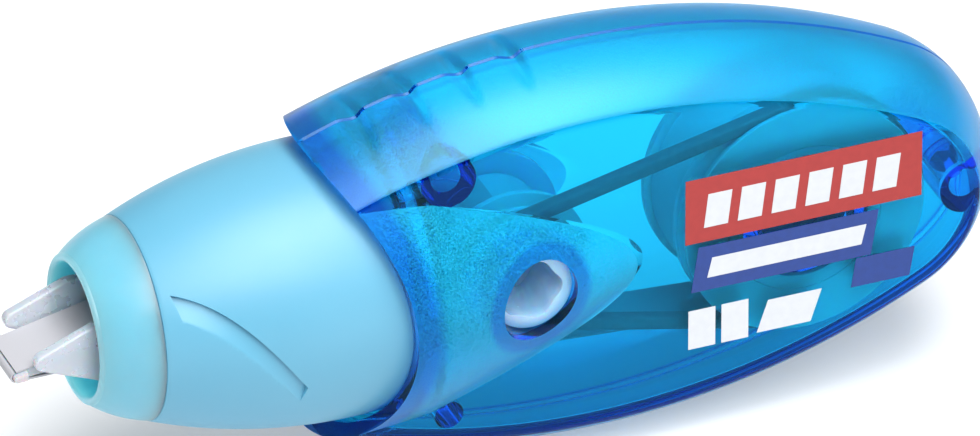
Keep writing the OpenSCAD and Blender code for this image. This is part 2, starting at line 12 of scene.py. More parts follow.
import bpy
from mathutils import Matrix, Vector

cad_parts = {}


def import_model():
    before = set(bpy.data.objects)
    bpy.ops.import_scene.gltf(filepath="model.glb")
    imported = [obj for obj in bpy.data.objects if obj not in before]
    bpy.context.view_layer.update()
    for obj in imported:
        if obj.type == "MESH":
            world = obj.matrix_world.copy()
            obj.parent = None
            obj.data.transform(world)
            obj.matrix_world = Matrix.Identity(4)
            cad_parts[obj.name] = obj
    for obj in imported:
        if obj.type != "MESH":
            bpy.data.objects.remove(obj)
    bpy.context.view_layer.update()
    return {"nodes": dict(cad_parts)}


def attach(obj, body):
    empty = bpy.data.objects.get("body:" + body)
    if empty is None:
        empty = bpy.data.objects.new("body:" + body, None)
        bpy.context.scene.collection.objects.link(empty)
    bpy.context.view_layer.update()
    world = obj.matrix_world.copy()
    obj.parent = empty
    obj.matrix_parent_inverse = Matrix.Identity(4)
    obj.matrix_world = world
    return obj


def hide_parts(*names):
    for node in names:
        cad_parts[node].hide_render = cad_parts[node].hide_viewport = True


LOG = logging.getLogger("correction_tape")
MM = 0.001
MID_X = 33.6923
MERGE = 1e-6
ALONG = (1.0, 0.0, 0.0)
ACROSS = (0.0, 1.0, 0.0)
UPRIGHT = (0.0, 0.0, 1.0)
FLATTEN = (1.0, 0.0, 1.0)
MIX_FIRST = 6
MIX_LAST = 7
MIX_RESULT = 2
RAMP_ENDS = (0.35, 0.65)

Point = tuple[float, float]
Profile = tuple[Point, ...]
Colour = tuple[float, float, float]
Piece = bpy.types.Object
Material = bpy.types.Material
Socket = bpy.types.NodeSocket


class Body(Enum):
    """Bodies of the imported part."""

    CASING = "casing"
    SLEEVE = "sleeve"
    GUARD = "guard"
    SUPPLY = "supply_reel"
    TAKE_UP = "take_up_reel"


class Way(Enum):
    """Ways to combine two solids."""

    JOIN = "UNION"
    CUT = "DIFFERENCE"
    KEEP = "INTERSECT"


class Side(Enum):
    """Sides of the parting plane, as the sign of the depth."""

    LEFT = 1
    RIGHT = -1


def place(station: float, depth: float, height: float) -> Vector:
    """Returns the point of the part's frame, in metres, for a station, depth and height."""
    return Vector((station - MID_X, -depth, height)) * MM


def oblong(front: float, rear: float, half_h: float) -> list[Point]:
    """Lists the corners of a rectangle that lies evenly about the nose axis."""
    return [(front, -half_h), (rear, -half_h), (rear, half_h), (front, half_h)]


def arc(centre: Point, radius: float, start: float, end: float, steps: int) -> list[Point]:
    """Lists points round a circle.

    Args:
        centre: Middle of the circle.
        radius: Its radius.
        start: First direction in degrees.
        end: Last direction in degrees.
        steps: Number of steps between them.

    Returns:
        The points, both ends included.
    """
    angles = [math.radians(start + (end - start) * i / steps) for i in range(steps + 1)]
    return [(centre[0] + radius * math.cos(a), centre[1] + radius * math.sin(a)) for a in angles]


def arc_centre(first: Point, last: Point, radius: float) -> Vector:
    """Returns the centre of an arc that bulges away from the axis between two points."""
    chord = Vector(last) - Vector(first)
    rise = math.sqrt(radius ** 2 - (chord.length / 2) ** 2)
    return (Vector(first) + Vector(last)) / 2 + rise * Vector((chord.y, -chord.x)) / chord.length


def bulge(first: Point, last: Point, radius: float, steps: int) -> list[Point]:
    """Lists points on an arc that bulges away from the axis.

    Args:
        first: Start of the arc.
        last: End of the arc, further along.
        radius: Radius of the arc.
        steps: Number of steps.

    Returns:
        The points, both ends included.
    """
    centre = arc_centre(first, last, radius)
    start, end = (math.degrees(math.atan2(p[1] - centre.y, p[0] - centre.x)) for p in (first, last))
    return arc((centre.x, centre.y), radius, start, end, steps)


def touch(first: Point, first_r: float, last: Point, last_r: float, side: int) -> float:
    """Finds where a straight line touches two circles on the same side.

    Args:
        first: Centre of the first circle.
        first_r: Its radius.
        last: Centre of the second circle.
        last_r: Its radius.
        side: 1 or -1, for the two lines.

    Returns:
        The direction of the touching point on the first circle, in degrees from 0 to 360.
    """
    span = Vector(last) - Vector(first)
    lean = math.acos((first_r - last_r) / span.length)
    return math.degrees(math.atan2(span.y, span.x) + side * lean) % 360


class Bench:
    """The modeller's hand tools, each a short run of Blender operators."""

    @staticmethod
    def only(piece: Piece) -> None:
        """Makes a piece the only one selected, and the active one."""
        bpy.ops.object.select_all(action="DESELECT")
        piece.select_set(True)
        bpy.context.view_layer.objects.active = piece

    @staticmethod
    def extrude(step: Vector) -> None:
        """Extrudes what is selected by a step in metres."""
        bpy.ops.mesh.extrude_region_move(TRANSFORM_OT_translate={"value": step})

    @staticmethod
    def trace(name: str, points: Sequence[Vector], closed: bool = True) -> Piece:
        """Draws a line of edges by extruding one vertex from point to point.

        Args:
            name: Name of the new piece.
            points: Corners of the line, in the part's frame.
            closed: Whether the line goes back to its start.

        Returns:
            The piece, in edit mode with the whole line selected.
        """
        bpy.ops.object.select_all(action="DESELECT")
        bpy.ops.mesh.primitive_plane_add(size=MM)
        piece = bpy.context.object
        piece.name = name
        bpy.ops.object.mode_set(mode="EDIT")
        bpy.ops.mesh.select_all(action="SELECT")
        bpy.ops.mesh.merge(type="CENTER")
        bpy.ops.transform.translate(value=points[0])
        route = [*points, points[0]] if closed else list(points)
        for here, there in zip(route, route[1:]):
            Bench.extrude(there - here)
        bpy.ops.mesh.select_all(action="SELECT")
        bpy.ops.mesh.remove_doubles(threshold=MERGE)
        return piece

    @staticmethod
    def spin(centre: Vector, axis: Sequence[float], degrees: float, steps: int) -> None:
        """Spins what is selected about an axis, by the right-hand rule."""
        bpy.ops.mesh.spin(steps=steps, angle=-math.radians(degrees), center=centre, axis=axis)

    @staticmethod
    def close_up() -> None:
        """Merges doubles, turns the faces outwards and leaves edit mode."""
        bpy.ops.mesh.select_all(action="SELECT")
        bpy.ops.mesh.remove_doubles(threshold=MERGE)
        bpy.ops.mesh.normals_make_consistent(inside=False)
        bpy.ops.object.mode_set(mode="OBJECT")

    @staticmethod
    def turn_nose(name: str, profile: Sequence[Point], steps: int, closed: bool = True) -> Piece:
        """Turns a profile about the nose axis.

        Args:
            name: Name of the new piece.
            profile: Corners as station and radius.
            steps: Steps round the axis.
            closed: Whether the profile is a ring, or ends on the axis.

        Returns:
            The piece, in object mode.
        """
        piece = Bench.trace(name, [place(x, 0, r) for x, r in profile], closed)
        Bench.spin(Vector(), ALONG, 360, steps)
        Bench.close_up()
        return piece

    @staticmethod
    def turn_across(name: str, hub: Point, profile: Sequence[Point], steps: int, closed: bool = True) -> Piece:
        """Turns a profile about a cross axle.

        Args:
            name: Name of the new piece.
            hub: Station and height of the axle.
            profile: Corners as radius and depth.
            steps: Steps round the axle.
            closed: Whether the profile is a ring, or ends on the axle.

        Returns:
            The piece, in object mode.
        """
        piece = Bench.trace(name, [place(hub[0] + r, y, hub[1]) for r, y in profile], closed)
        Bench.spin(place(hub[0], 0, hub[1]), ACROSS, 360, steps)
        Bench.close_up()
        return piece

    @staticmethod
    def rod(name: str, hub: Point, radius: float, near: float, far: float, steps: int = 64) -> Piece:
        """Turns a plain round bar across the body between two depths."""
        return Bench.turn_across(name, hub, [(0, near), (radius, near), (radius, far), (0, far)], steps, False)

    @staticmethod
    def plate(name: str, outline: Sequence[Point], near: float, far: float) -> Piece:
        """Extrudes an outline in station and height between two depths.

        Args:
            name: Name of the new piece.
            outline: Corners of the outline.
            near: First depth.
            far: Last depth.

        Returns:
            The piece, in object mode.
        """
        piece = Bench.trace(name, [place(x, near, z) for x, z in outline])
        bpy.ops.mesh.edge_face_add()
        Bench.extrude(Vector((0, near - far, 0)) * MM)
        Bench.close_up()
        return piece

    @staticmethod
    def copy(piece: Piece, name: str) -> Piece:
        """Copies a piece together with its mesh."""
        Bench.only(piece)
        bpy.ops.object.duplicate()
        twin = bpy.context.object
        twin.name = name
        return twin

    @staticmethod
    def apply(piece: Piece, modifier: bpy.types.Modifier) -> None:
        """Applies a modifier to a piece."""
        Bench.only(piece)
        bpy.ops.object.modifier_apply(modifier=modifier.name)

    @staticmethod
    def combine(piece: Piece, tool: Piece, way: Way) -> Piece:
        """Combines a piece with a tool solid, removes the tool and returns the piece."""
        modifier = piece.modifiers.new(way.name, "BOOLEAN")
        modifier.operation = way.value
        modifier.solver = "MANIFOLD"
        modifier.object = tool
        Bench.apply(piece, modifier)
        bpy.data.objects.remove(tool)
        return piece

    @staticmethod
    def join(piece: Piece, tool: Piece) -> None:
        """Joins a tool solid to a piece."""
        Bench.combine(piece, tool, Way.JOIN)

    @staticmethod
    def cut(piece: Piece, tool: Piece) -> None:
        """Cuts a tool solid out of a piece."""
        Bench.combine(piece, tool, Way.CUT)

    @staticmethod
    def soften(piece: Piece, width: float, segments: int, corner: float) -> None:
        """Rounds the edges that turn by more than a corner angle, in degrees."""
        modifier = piece.modifiers.new("Soft edges", "BEVEL")
        modifier.limit_method = "ANGLE"
        modifier.angle_limit = math.radians(corner)
        modifier.width = width * MM
        modifier.segments = segments
        Bench.apply(piece, modifier)

    @staticmethod
    def smooth(piece: Piece, corner: float = 30.0, sharpen: Callable[[Piece], None] | None = None) -> Piece:
        """Shades a piece smooth.

        Args:
            piece: The piece.
            corner: Edges that turn by more degrees than this stay sharp.
            sharpen: Marks more edges sharp.

        Returns:
            The same piece.
        """
        Bench.only(piece)
        bpy.ops.object.shade_smooth_by_angle(angle=math.radians(corner))
        if sharpen:
            sharpen(piece)
        modifier = piece.modifiers.new("Flat faces lead", "WEIGHTED_NORMAL")
        modifier.keep_sharp = True
        Bench.apply(piece, modifier)
        return piece

    @staticmethod
    def pick(piece: Piece, test: Callable[[Vector], bool]) -> None:
        """Opens a piece in edit mode with the vertices selected that pass a test on their place."""
        Bench.only(piece)
        mesh = piece.data
        mesh.polygons.foreach_set("select", [False] * len(mesh.polygons))
        mesh.edges.foreach_set("select", [False] * len(mesh.edges))
        mesh.vertices.foreach_set("select", [test(v.co) for v in mesh.vertices])
        bpy.ops.object.mode_set(mode="EDIT")
        bpy.ops.mesh.select_mode(type="VERT")


class Shader:
    """A material's node tree, with short calls to add and link its nodes."""

    def __init__(self, name: str) -> None:
        """Starts a material with its usual surface shader."""
        self.material = bpy.data.materials.new(name)
        self.material.use_nodes = True
        self.tree = self.material.node_tree
        self.surface = self.tree.nodes["Principled BSDF"]
        self.output = self.tree.nodes["Material Output"]

    @staticmethod
    def fill(node: bpy.types.Node, **inputs: object) -> bpy.types.Node:
        """Sets named inputs of a node, with _ for a space, and returns it."""
        for key, value in inputs.items():
            node.inputs[key.replace("_", " ")].default_value = value
        return node

    def add(self, kind: str, **inputs: object) -> bpy.types.Node:
        """Adds a node and sets its named inputs."""
        return self.fill(self.tree.nodes.new(kind), **inputs)

    def set(self, **inputs: object) -> None:
        """Sets named inputs of the surface shader."""
        self.fill(self.surface, **inputs)

    def link(self, source: Socket, target: Socket) -> None:
        """Links two sockets."""
        self.tree.links.new(source, target)

    def feed(self, name: str, source: Socket) -> None:
        """Links a value to a named input of the surface shader."""
        self.link(source, self.surface.inputs[name])

    def where(self) -> Socket:
        """Returns the Object coordinates."""
        return self.add("ShaderNodeTexCoord").outputs["Object"]

    def noise(self, per_metre: float, detail: float) -> Socket:
        """Adds a noise on Object coordinates and returns its value."""
        noise = self.add("ShaderNodeTexNoise", Scale=per_metre, Detail=detail)
        self.link(self.where(), noise.inputs["Vector"])
        return noise.outputs["Fac"]

    def remap(self, source: Socket, **ends: float) -> Socket:
        """Maps a value from one range to another, each from 0 to 1 unless its ends are given."""
        mapped = self.add("ShaderNodeMapRange", **ends)
        self.link(source, mapped.inputs["Value"])
        return mapped.outputs["Result"]

    def spread(self, source: Socket, low: float, high: float) -> Socket:
        """Maps a value from 0 to 1 onto another range."""
        return self.remap(source, To_Min=low, To_Max=high)

    def threshold(self, source: Socket, low: float, high: float) -> Socket:
        """Maps the range between two values onto 0 to 1."""
        return self.remap(source, From_Min=low, From_Max=high)

    def calc(self, operation: str, *sources: Socket) -> Socket:
        """Works out a value from one or two others."""
        node = self.add("ShaderNodeMath")
        node.operation = operation
        for source, target in zip(sources, node.inputs):
            self.link(source, target)
        return node.outputs["Value"]

    def tint(self, source: Socket, first: Colour, last: Colour) -> Socket:
        """Mixes two colours by a value."""
        ramp = self.add("ShaderNodeValToRGB")
        for element, colour, end in zip(ramp.color_ramp.elements, (first, last), RAMP_ENDS):
            element.color = (*colour, 1)
            element.position = end
        self.link(source, ramp.inputs["Fac"])
        return ramp.outputs["Color"]

    def blend(self, source: Socket, first: Colour | Socket, last: Colour) -> Socket:
        """Mixes a colour or a colour socket with another colour, evenly by a value from 0 to 1."""
        mix = self.add("ShaderNodeMix")
        mix.data_type = "RGBA"
        if isinstance(first, tuple):
            mix.inputs[MIX_FIRST].default_value = (*first, 1.0)
        else:
            self.link(first, mix.inputs[MIX_FIRST])
        mix.inputs[MIX_LAST].default_value = (*last, 1.0)
        self.link(source, mix.inputs["Factor"])
        return mix.outputs[MIX_RESULT]

    def bump(self, source: Socket, strength: float, height: float) -> bpy.types.Node:
        """Adds a bump of a height in millimetres to the surface and returns its node."""
        node = self.add("ShaderNodeBump", Strength=strength, Distance=height * MM)
        self.link(source, node.inputs["Height"])
        self.feed("Normal", node.outputs["Normal"])
        return node


@dataclass(frozen=True)
class Finish:
    """A surface of two mixed colours with a range of roughness and a fine grain."""

    name: str
    main: Colour
    other: Colour
    rough: Point = (0.36, 0.46)
    clear: float = 0.0
    glow: float = 0.0
    glow_depth: float = 0.002
    glow_reach: Colour = (1.0, 0.2, 0.1)
    ior: float = 1.46
    grain_per_metre: float = 2600.0
    grain_detail: float = 3.0
    grain_strength: float = 0.25
    grain_height: float = 0.012
    cloud_per_metre: float = 0.0
    cloud_detail: float = 2.0

    def grain(self, shader: Shader) -> Socket:
        """Adds the pattern of the grain."""
        return shader.noise(self.grain_per_metre, self.grain_detail)

    def make(self) -> Material:
        """Builds the material, its colours mixed by clouds where it has them."""
        shader = Shader(self.name)
        grain = self.grain(shader)
        cloud = shader.noise(self.cloud_per_metre, self.cloud_detail) if self.cloud_per_metre else grain
        shader.set(Subsurface_Weight=self.glow, Subsurface_Scale=self.glow_depth, IOR=self.ior)
        shader.set(Subsurface_Radius=self.glow_reach, Transmission_Weight=self.clear)
        shader.feed("Base Color", shader.tint(cloud, self.main, self.other))
        shader.feed("Roughness", shader.spread(grain, *self.rough))
        shader.bump(grain, self.grain_strength, self.grain_height)
        return shader.material


@dataclass(frozen=True)
class SatinPlastic(Finish):
    """Opaque moulded plastic with a fine satin grain."""

    glow: float = 0.25
    glow_reach: Colour = (0.5, 1.0, 1.0)
    cloud_per_metre: float = 90.0


@dataclass(frozen=True)
class MilkyPlastic(Finish):
    """Milky plastic that lets some light through."""

    rough: Point = (0.22, 0.34)
    clear: float = 0.25
    glow: float = 0.6
    glow_depth: float = 0.0015
    grain_per_metre: float = 900.0
    grain_detail: float = 2.0
    grain_strength: float = 0.05
    grain_height: float = 0.004
    cloud_per_metre: float = 140.0


@dataclass(frozen=True)
class BeltRubber(Finish):
    """Dark matte rubber with a fine grain and dusty patches."""

    name: str = "belt_rubber"
    main: Colour = (0.36, 0.23, 0.235)
    other: Colour = (0.40, 0.27, 0.275)
    rough: Point = (0.62, 0.82)
    ior: float = 1.5
    grain_per_metre: float = 1800.0
    grain_detail: float = 4.0
    grain_strength: float = 0.5
    grain_height: float = 0.02


@dataclass(frozen=True)
class TapeFilm(Finish):
    """Wound or drawn tape with faint lines along its edges."""

    rough: Point = (0.42, 0.58)
    ior: float = 1.45
    grain_per_metre: float = 5200.0
    grain_detail: float = 2.0
    grain_strength: float = 0.2
    grain_height: float = 0.01
    waver: float = 1.5

    def grain(self, shader: Shader) -> Socket:
        """Adds the pattern of the lines."""
        sizes = {"Scale": self.grain_per_metre, "Detail": self.grain_detail, "Distortion": self.waver}
        lines = shader.add("ShaderNodeTexWave", **sizes)
        lines.bands_direction = "Y"
        shader.link(shader.where(), lines.inputs["Vector"])
        return lines.outputs["Fac"]


@dataclass(frozen=True)
class PrintInk(Finish):
    """Flat printed ink with a slight speckle of uneven cover."""

    rough: Point = (0.24, 0.40)
    ior: float = 1.48
    grain_per_metre: float = 1500.0
    grain_strength: float = 0.1
    grain_height: float = 0.004


@dataclass(frozen=True)
class TintedPlastic:
    """Clear plastic dyed in the mass, frosted where the piece's frost attribute says so, with a dark seam line
    and painted dark shade behind the lip and round the rewind window.
    """

    name: str = "tinted_casing_plastic"
    skin: Colour = (0.18, 0.92, 0.99)
    deep: Colour = (0.005, 0.71, 0.96)
    veil: Colour = (0.03, 0.58, 0.93)
    veil_grain: Point = (0.2, 0.8)
    veil_share: float = 0.55
    shine: Colour = (0.12, 0.7, 1.0)
    ior: float = 1.4
    dye: Colour = (0.0, 0.70, 0.98)
    dye_density: float = 540.0
    clear_rough: float = 0.04
    frost_rough: float = 0.42
    frost_per_metre: float = 8000.0
    frost_detail: float = 1.0
    frost_strength: float = 0.9
    frost_height: float = 0.008
    sheen: float = 0.5
    sheen_rough: float = 0.38
    # Dark blue of the seam line between the halves, also painted on as dark shade behind the lip and round the
    # rewind window.
    seam_and_painted_shade: Colour = (0.01, 0.30, 0.86)
    # Width, full part and strength of the painted dark shade behind the lip.
    lip_shade_w: float = 2.6
    lip_shade_full: float = 0.6
    lip_shade_share: float = 0.85
    seam_in: float = 0.15
    seam_out: float = 0.28
    # Radii, strength and depths of the painted dark shade ring round the rewind window.
    window_shade_in: float = 4.3
    window_shade_out: float = 4.8
    window_shade_share: float = 0.7
    window_shade_depths: Point = (6.0, 7.0)

    def make(self) -> Material:
        """Builds the material."""
        shader = Shader(self.name)
        attribute = shader.add("ShaderNodeAttribute")
        attribute.attribute_name = "frost"
        frost = attribute.outputs["Fac"]
        grain = shader.noise(self.frost_per_metre, self.frost_detail)
        shader.set(IOR=self.ior, Specular_Tint=(*self.shine, 1.0), Coat_Roughness=self.sheen_rough)
        rough_skin = shader.threshold(frost, 0.0, Casing.crown_frost)
        crown = shader.calc("MULTIPLY", rough_skin, shader.threshold(frost, 1.0, Casing.crown_frost))
        shader.feed("Coat Weight", shader.spread(crown, 0.0, self.sheen))
        veil = shader.calc("MULTIPLY", shader.threshold(grain, *self.veil_grain), frost)
        skin = shader.blend(rough_skin, self.skin, self.deep)
        skin = shader.blend(veil, skin, self.veil)
        # Blends in the dark seam line and the painted dark shade behind the lip and round the rewind window.
        for band in (self.lip_painted_shade(shader), self.seam_band(shader), self.window_painted_shade(shader)):
            skin = shader.blend(band, skin, self.seam_and_painted_shade)
        shader.feed("Base Color", skin)
        shader.feed("Transmission Weight", shader.spread(veil, 1.0, 1.0 - self.veil_share))
        shader.feed("Roughness", shader.spread(rough_skin, self.clear_rough, self.frost_rough))
        relief = shader.bump(grain, 1.0, self.frost_height)
        shader.link(shader.spread(rough_skin, 0.0, self.frost_strength), relief.inputs["Strength"])
        shader.feed("Coat Normal", relief.outputs["Normal"])
        dye = shader.add("ShaderNodeVolumeAbsorption", Color=(*self.dye, 1.0), Density=self.dye_density)
        shader.link(dye.outputs["Volume"], shader.output.inputs["Volume"])
        return shader.material

    @staticmethod
    def across(shader: Shader) -> Socket:
        """Returns the place across the body in metres, below zero on the left side."""
        split = shader.add("ShaderNodeSeparateXYZ")
        shader.link(shader.where(), split.inputs["Vector"])
        return split.outputs["Y"]

    @staticmethod
    def round_band(shader: Shader, station: float, full_r: float, no_r: float) -> Socket:
        """Returns a value round an axis across the body.

        Args:
            shader: The material's shader.
            station: Where the axis crosses the nose axis.
            full_r: The value is 1 within this radius.
            no_r: The value is 0 beyond this radius.

        Returns:
            The value's socket.
        """
        flat = shader.add("ShaderNodeVectorMath")
        flat.operation = "MULTIPLY_ADD"
        flat.inputs[1].default_value = FLATTEN
        flat.inputs[2].default_value = -place(station, 0, 0)
        shader.link(shader.where(), flat.inputs[0])
        reach = shader.add("ShaderNodeVectorMath")
        reach.operation = "LENGTH"
        shader.link(flat.outputs["Vector"], reach.inputs[0])
        return shader.threshold(reach.outputs["Value"], no_r * MM, full_r * MM)

    def seam_band(self, shader: Shader) -> Socket:
        """Returns a value that is 1 along the seam between the halves and 0 beside it."""
        depth = shader.calc("ABSOLUTE", self.across(shader))
        return shader.threshold(depth, self.seam_out * MM, self.seam_in * MM)

    def lip_painted_shade(self, shader: Shader) -> Socket:
        """Returns the mask of painted dark shade, which fades from high at the casing's lip to 0 behind its
        thick rim.
        """
        lip_r = Casing.lip_cut_r
        full_r = lip_r + self.lip_shade_w * self.lip_shade_full
        band = self.round_band(shader, Casing.lip_cut_x, full_r, lip_r + self.lip_shade_w)
        return shader.spread(band, 0.0, self.lip_shade_share)

    def window_painted_shade(self, shader: Shader) -> Socket:
        """Returns the mask of painted dark shade, high round the rewind window on the outer face of the left
        side and 0 elsewhere.
        """
        band = self.round_band(shader, Casing.take_up[0], self.window_shade_in, self.window_shade_out)
        inner, outer = self.window_shade_depths
        outside = shader.threshold(self.across(shader), -inner * MM, -outer * MM)
        return shader.spread(shader.calc("MULTIPLY", band, outside), 0.0, self.window_shade_share)


def settle(piece: Piece, body: Body, slot: str, finish: Material, *nodes: str) -> None:
    """Gives a finished piece its material and its body.

    Args:
        piece: The finished piece.
        body: Body that it moves with.
        slot: Not used.
        finish: Its material.
        nodes: CAD nodes that it stands for.
    """
    piece.data.name = piece.name
    piece.data.materials.clear()
    piece.data.materials.append(finish)
    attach(piece, body.value)
    if nodes:
        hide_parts(*nodes)
    LOG.info("%s: %d faces, on %s", piece.name, len(piece.data.polygons), body.value)


@dataclass
class Casing:
    """The two translucent halves of the body."""

    arc_r: float = 60.5
    arc_steps: int = 240
    crest_x: float = 39.8
    arc_drop: float = 44.2
    panel_half_w: float = 7.4
    crown_r: float = 11.0
    crown_steps: int = 14
    tail_x: float = 62.6347
    tail_r: float = 10.75
    tail_steps: int = 44
    wall: float = 1.3
    ridge_fillet: float = 0.9
    ridge_steps: int = 5
    room_fillet: float = 0.2
    seam_half_w: float = 0.18
    seam_depth: float = 0.16
    seam_gap: float = 0.02
    fairing_r: float = 12.3
    fairing_x: float = 17.0
    fairing_arc_r: float = 78.0
    fairing_wall: float = 1.1
    fairing_steps: int = 108
    fairing_turns: int = 288
    fairing_lead: float = 1.0
    fairing_room_end_r: float = 3.0
    fairing_end_x: float = 48.0
    taper_x: float = 25.8
    taper_r: float = 11.802
    taper_slope: float = 0.26276
    lip_cut_x: float = 5.371
    lip_cut_r: float = 17.629
    lip_steps: int = 256
    seat: Profile = (
        (23.65, 9.2), (23.65, 11.26), (25.75, 11.26), (25.75, 7.8),
        (25.15, 7.8), (25.15, 10.46), (24.25, 10.46), (24.25, 9.2),
    )
    ring_steps: int = 128
    notch_x: float = 22.6
    notch_pitch: float = 4.25
    notch_count: int = 4
    notch_depth: float = 0.42
    notch_l: float = 4.1
    notch_rise: float = 1.5
    notch_fall: float = 0.85
    notch_taper: float = 0.6
    front_deg: float = 32.0
    front_x: float = 11.0
    boss_r: float = 2.2
    boss_root: float = 6.3
    bore_r: float = 1.2
    bore_reach: float = 5.0
    pin_r: float = 1.15
    pin_reach: float = 2.5
    front_pin: Point = (27.6, 10.3)
    low_pin: Point = (27.6, -10.3)
    tail_pin: Point = (69.8, 0.0)
    take_up: Point = (33.8, 0.0)
    supply: Point = (56.8, 0.0)
    window_r: float = 3.3
    window_wall: float = 1.0
    window_in: float = 5.85
    window_out: float = 12.0
    panel_root: float = 6.6
    fairing_root: float = 9.1
    reel_gap: float = 3.75
    spigot_r: float = 3.75
    axle_r: float = 1.6
    axle_end: float = 1.875
    axle_shoulder_r: float = 2.6
    post_r: float = 5.0
    post_end: float = 5.15
    post_shoulder_r: float = 6.0
    post_bore_r: float = 3.8
    post_bore_ends: Point = (-6.1, 6.0)
    post_steps: int = 96
    guide: Point = (28.6, -6.6)
    guide_r: float = 0.9
    guide_root: float = 8.5
    guide_end: float = 2.8
    past: float = 1.0
    beyond: float = 20.0
    space: tuple[float, float, float] = (-20.0, 100.0, 30.0)
    crown_frost: float = 0.6
    plane_near: float = 0.005
    fairing_near: float = 0.06
    crown_near: float = 0.1
    flat_near: float = 0.01
    flat_normal: float = 0.9999

    def fairing_radius(self, station: float, inset: float) -> float:
        """Returns the fairing's radius at a station, drawn in by an inset."""
        reach = self.fairing_arc_r - inset
        round_r = self.fairing_r - self.fairing_arc_r + math.sqrt(reach ** 2 - (station - self.fairing_x) ** 2)
        return min(round_r, self.taper_r - inset - self.taper_slope * (station - self.taper_x))

    def half_section(self, inset: float, fillet: float) -> list[Point]:
        """Lists the section from near the seam to the side window.

        Args:
            inset: How far the section is drawn in.
            fillet: Radius of the ridge beside the window.

        Returns:
            Points as depth and drop from the outline.
        """
        crown = self.crown_r - inset
        centre_y = self.panel_half_w - inset - fillet
        centre_h = math.sqrt((crown - fillet) ** 2 - centre_y ** 2)
        lean = math.degrees(math.atan2(centre_y, centre_h))
        first = math.degrees(math.asin(self.seam_half_w / crown))
        top = arc((0, 0), crown, 90 - first, 90 - lean, self.crown_steps)
        ridge = arc((centre_y, centre_h), fillet, 90 - lean, 0, self.ridge_steps)
        return [(y, crown - h) for y, h in top + ridge[1:]]

    def body(self, name: str, inset: float, fillet: float, groove: float) -> Piece:
        """Sweeps the crowned section along both long arcs and round the tail.

        Args:
            name: Name of the new piece.
            inset: How far the body is drawn in.
            fillet: Radius of the ridges beside the windows.
            groove: Depth of the groove along the seam.

        Returns:
            The closed body, cut flat at its front.
        """
        half = self.half_section(inset, fillet)
        section = [(-y, d) for y, d in reversed(half)] + [(0.0, groove)] + half
        lean = math.radians(-self.front_deg)
        points = []
        for y, d in section:
            reach = self.arc_r - inset - d
            station = self.crest_x + reach * math.sin(lean)
            points.append(place(station, y, reach * math.cos(lean) - self.arc_drop))
        piece = Bench.trace(name, points, closed=False)
        ray = math.degrees(math.atan2(self.tail_x - self.crest_x, self.arc_drop))
        Bench.spin(place(self.crest_x, 0, -self.arc_drop), ACROSS, self.front_deg + ray, self.arc_steps)
        Bench.spin(place(self.tail_x, 0, 0), ACROSS, 180 - 2 * ray, self.tail_steps)
        Bench.spin(place(self.crest_x, 0, self.arc_drop), ACROSS, self.front_deg + ray, self.arc_steps)
        bpy.ops.object.mode_set(mode="OBJECT")
        half_w = (self.panel_half_w - inset) * MM
        for sign in (-1, 1):
            Bench.pick(piece, lambda co: abs(co.y - sign * half_w) < MERGE)
            bpy.ops.mesh.edge_face_add()
            bpy.ops.object.mode_set(mode="OBJECT")
        bpy.ops.object.mode_set(mode="EDIT")
        bpy.ops.mesh.select_all(action="SELECT")
        front = place(self.front_x + inset, 0, 0)
        bpy.ops.mesh.bisect(plane_co=front, plane_no=ALONG, use_fill=True, clear_inner=True)
        Bench.close_up()
        return piece

    def fairing(self, name: str, inset: float, end_r: float) -> Piece:
        """Turns the round fairing, drawn in by an inset, up to where it has narrowed to a radius."""
        steps = self.fairing_steps
        end_x = self.taper_x + (self.taper_r - inset - end_r) / self.taper_slope
        start_x = self.front_x + self.fairing_lead - inset
        stations = [start_x + (end_x - start_x) * i / steps for i in range(steps + 1)]
        skin = [(x, self.fairing_radius(x, inset)) for x in stations]
        return Bench.turn_nose(name, [(start_x, 0), *skin, (end_x, 0)], self.fairing_turns, closed=False)

    def dent(self, station: float, depth: float) -> float:
        """Returns how deep the grip notches are at a point of the crown.

        Args:
            station: Station of the point.
            depth: Its depth from the parting plane.

        Returns:
            The depth of the nearest notch there, which rises slowly at its front and falls fast behind.
        """
        share = abs(depth) / self.notch_l
        if share >= 1:
            return 0.0
        narrow = 1 - self.notch_taper * share
        nearest = round((station - self.notch_x) / self.notch_pitch)
        index = min(max(nearest, 0), self.notch_count - 1)
        along = station - self.notch_x - index * self.notch_pitch
        width = (self.notch_rise if along < 0 else self.notch_fall) * narrow
        level = max(0.0, 1 - abs(along) / width)
        return self.notch_depth * (1 - share ** 2) * level * level * (3 - 2 * level)

    def press_notches(self, piece: Piece) -> None:
        """Presses the soft grip notches into the top of the outer body."""
        hub = place(self.crest_x, 0, -self.arc_drop)
        for vertex in piece.data.vertices:
            if vertex.co.z > 0:
                inwards = hub - Vector((vertex.co.x, 0, vertex.co.z))
                vertex.co += inwards.normalized() * self.dent(vertex.co.x / MM + MID_X, vertex.co.y / MM) * MM

    def shell(self) -> tuple[Piece, Piece]:
        """Builds the shell of the closed casing, with the ribs that hold the nose collar.

        Returns:
            The shell and a copy of its solid outer form.
        """
        lip = (self.lip_cut_x, 0)
        shell = self.body("casing_shell", 0, self.ridge_fillet, self.seam_depth)
        self.press_notches(shell)
        Bench.join(shell, self.fairing("fairing", 0, self.panel_half_w - self.wall))
        form = Bench.copy(shell, "casing_form")
        Bench.cut(shell, self.body("body_room", self.wall, self.room_fillet, 0.0))
        Bench.cut(shell, self.fairing("fairing_room", self.fairing_wall, self.fairing_room_end_r))
        Bench.cut(shell, Bench.rod("lip_cut", lip, self.lip_cut_r, -self.beyond, self.beyond, self.lip_steps))
        Bench.join(shell, Bench.turn_nose("collar_seat", self.seat, self.ring_steps))
        return shell, form

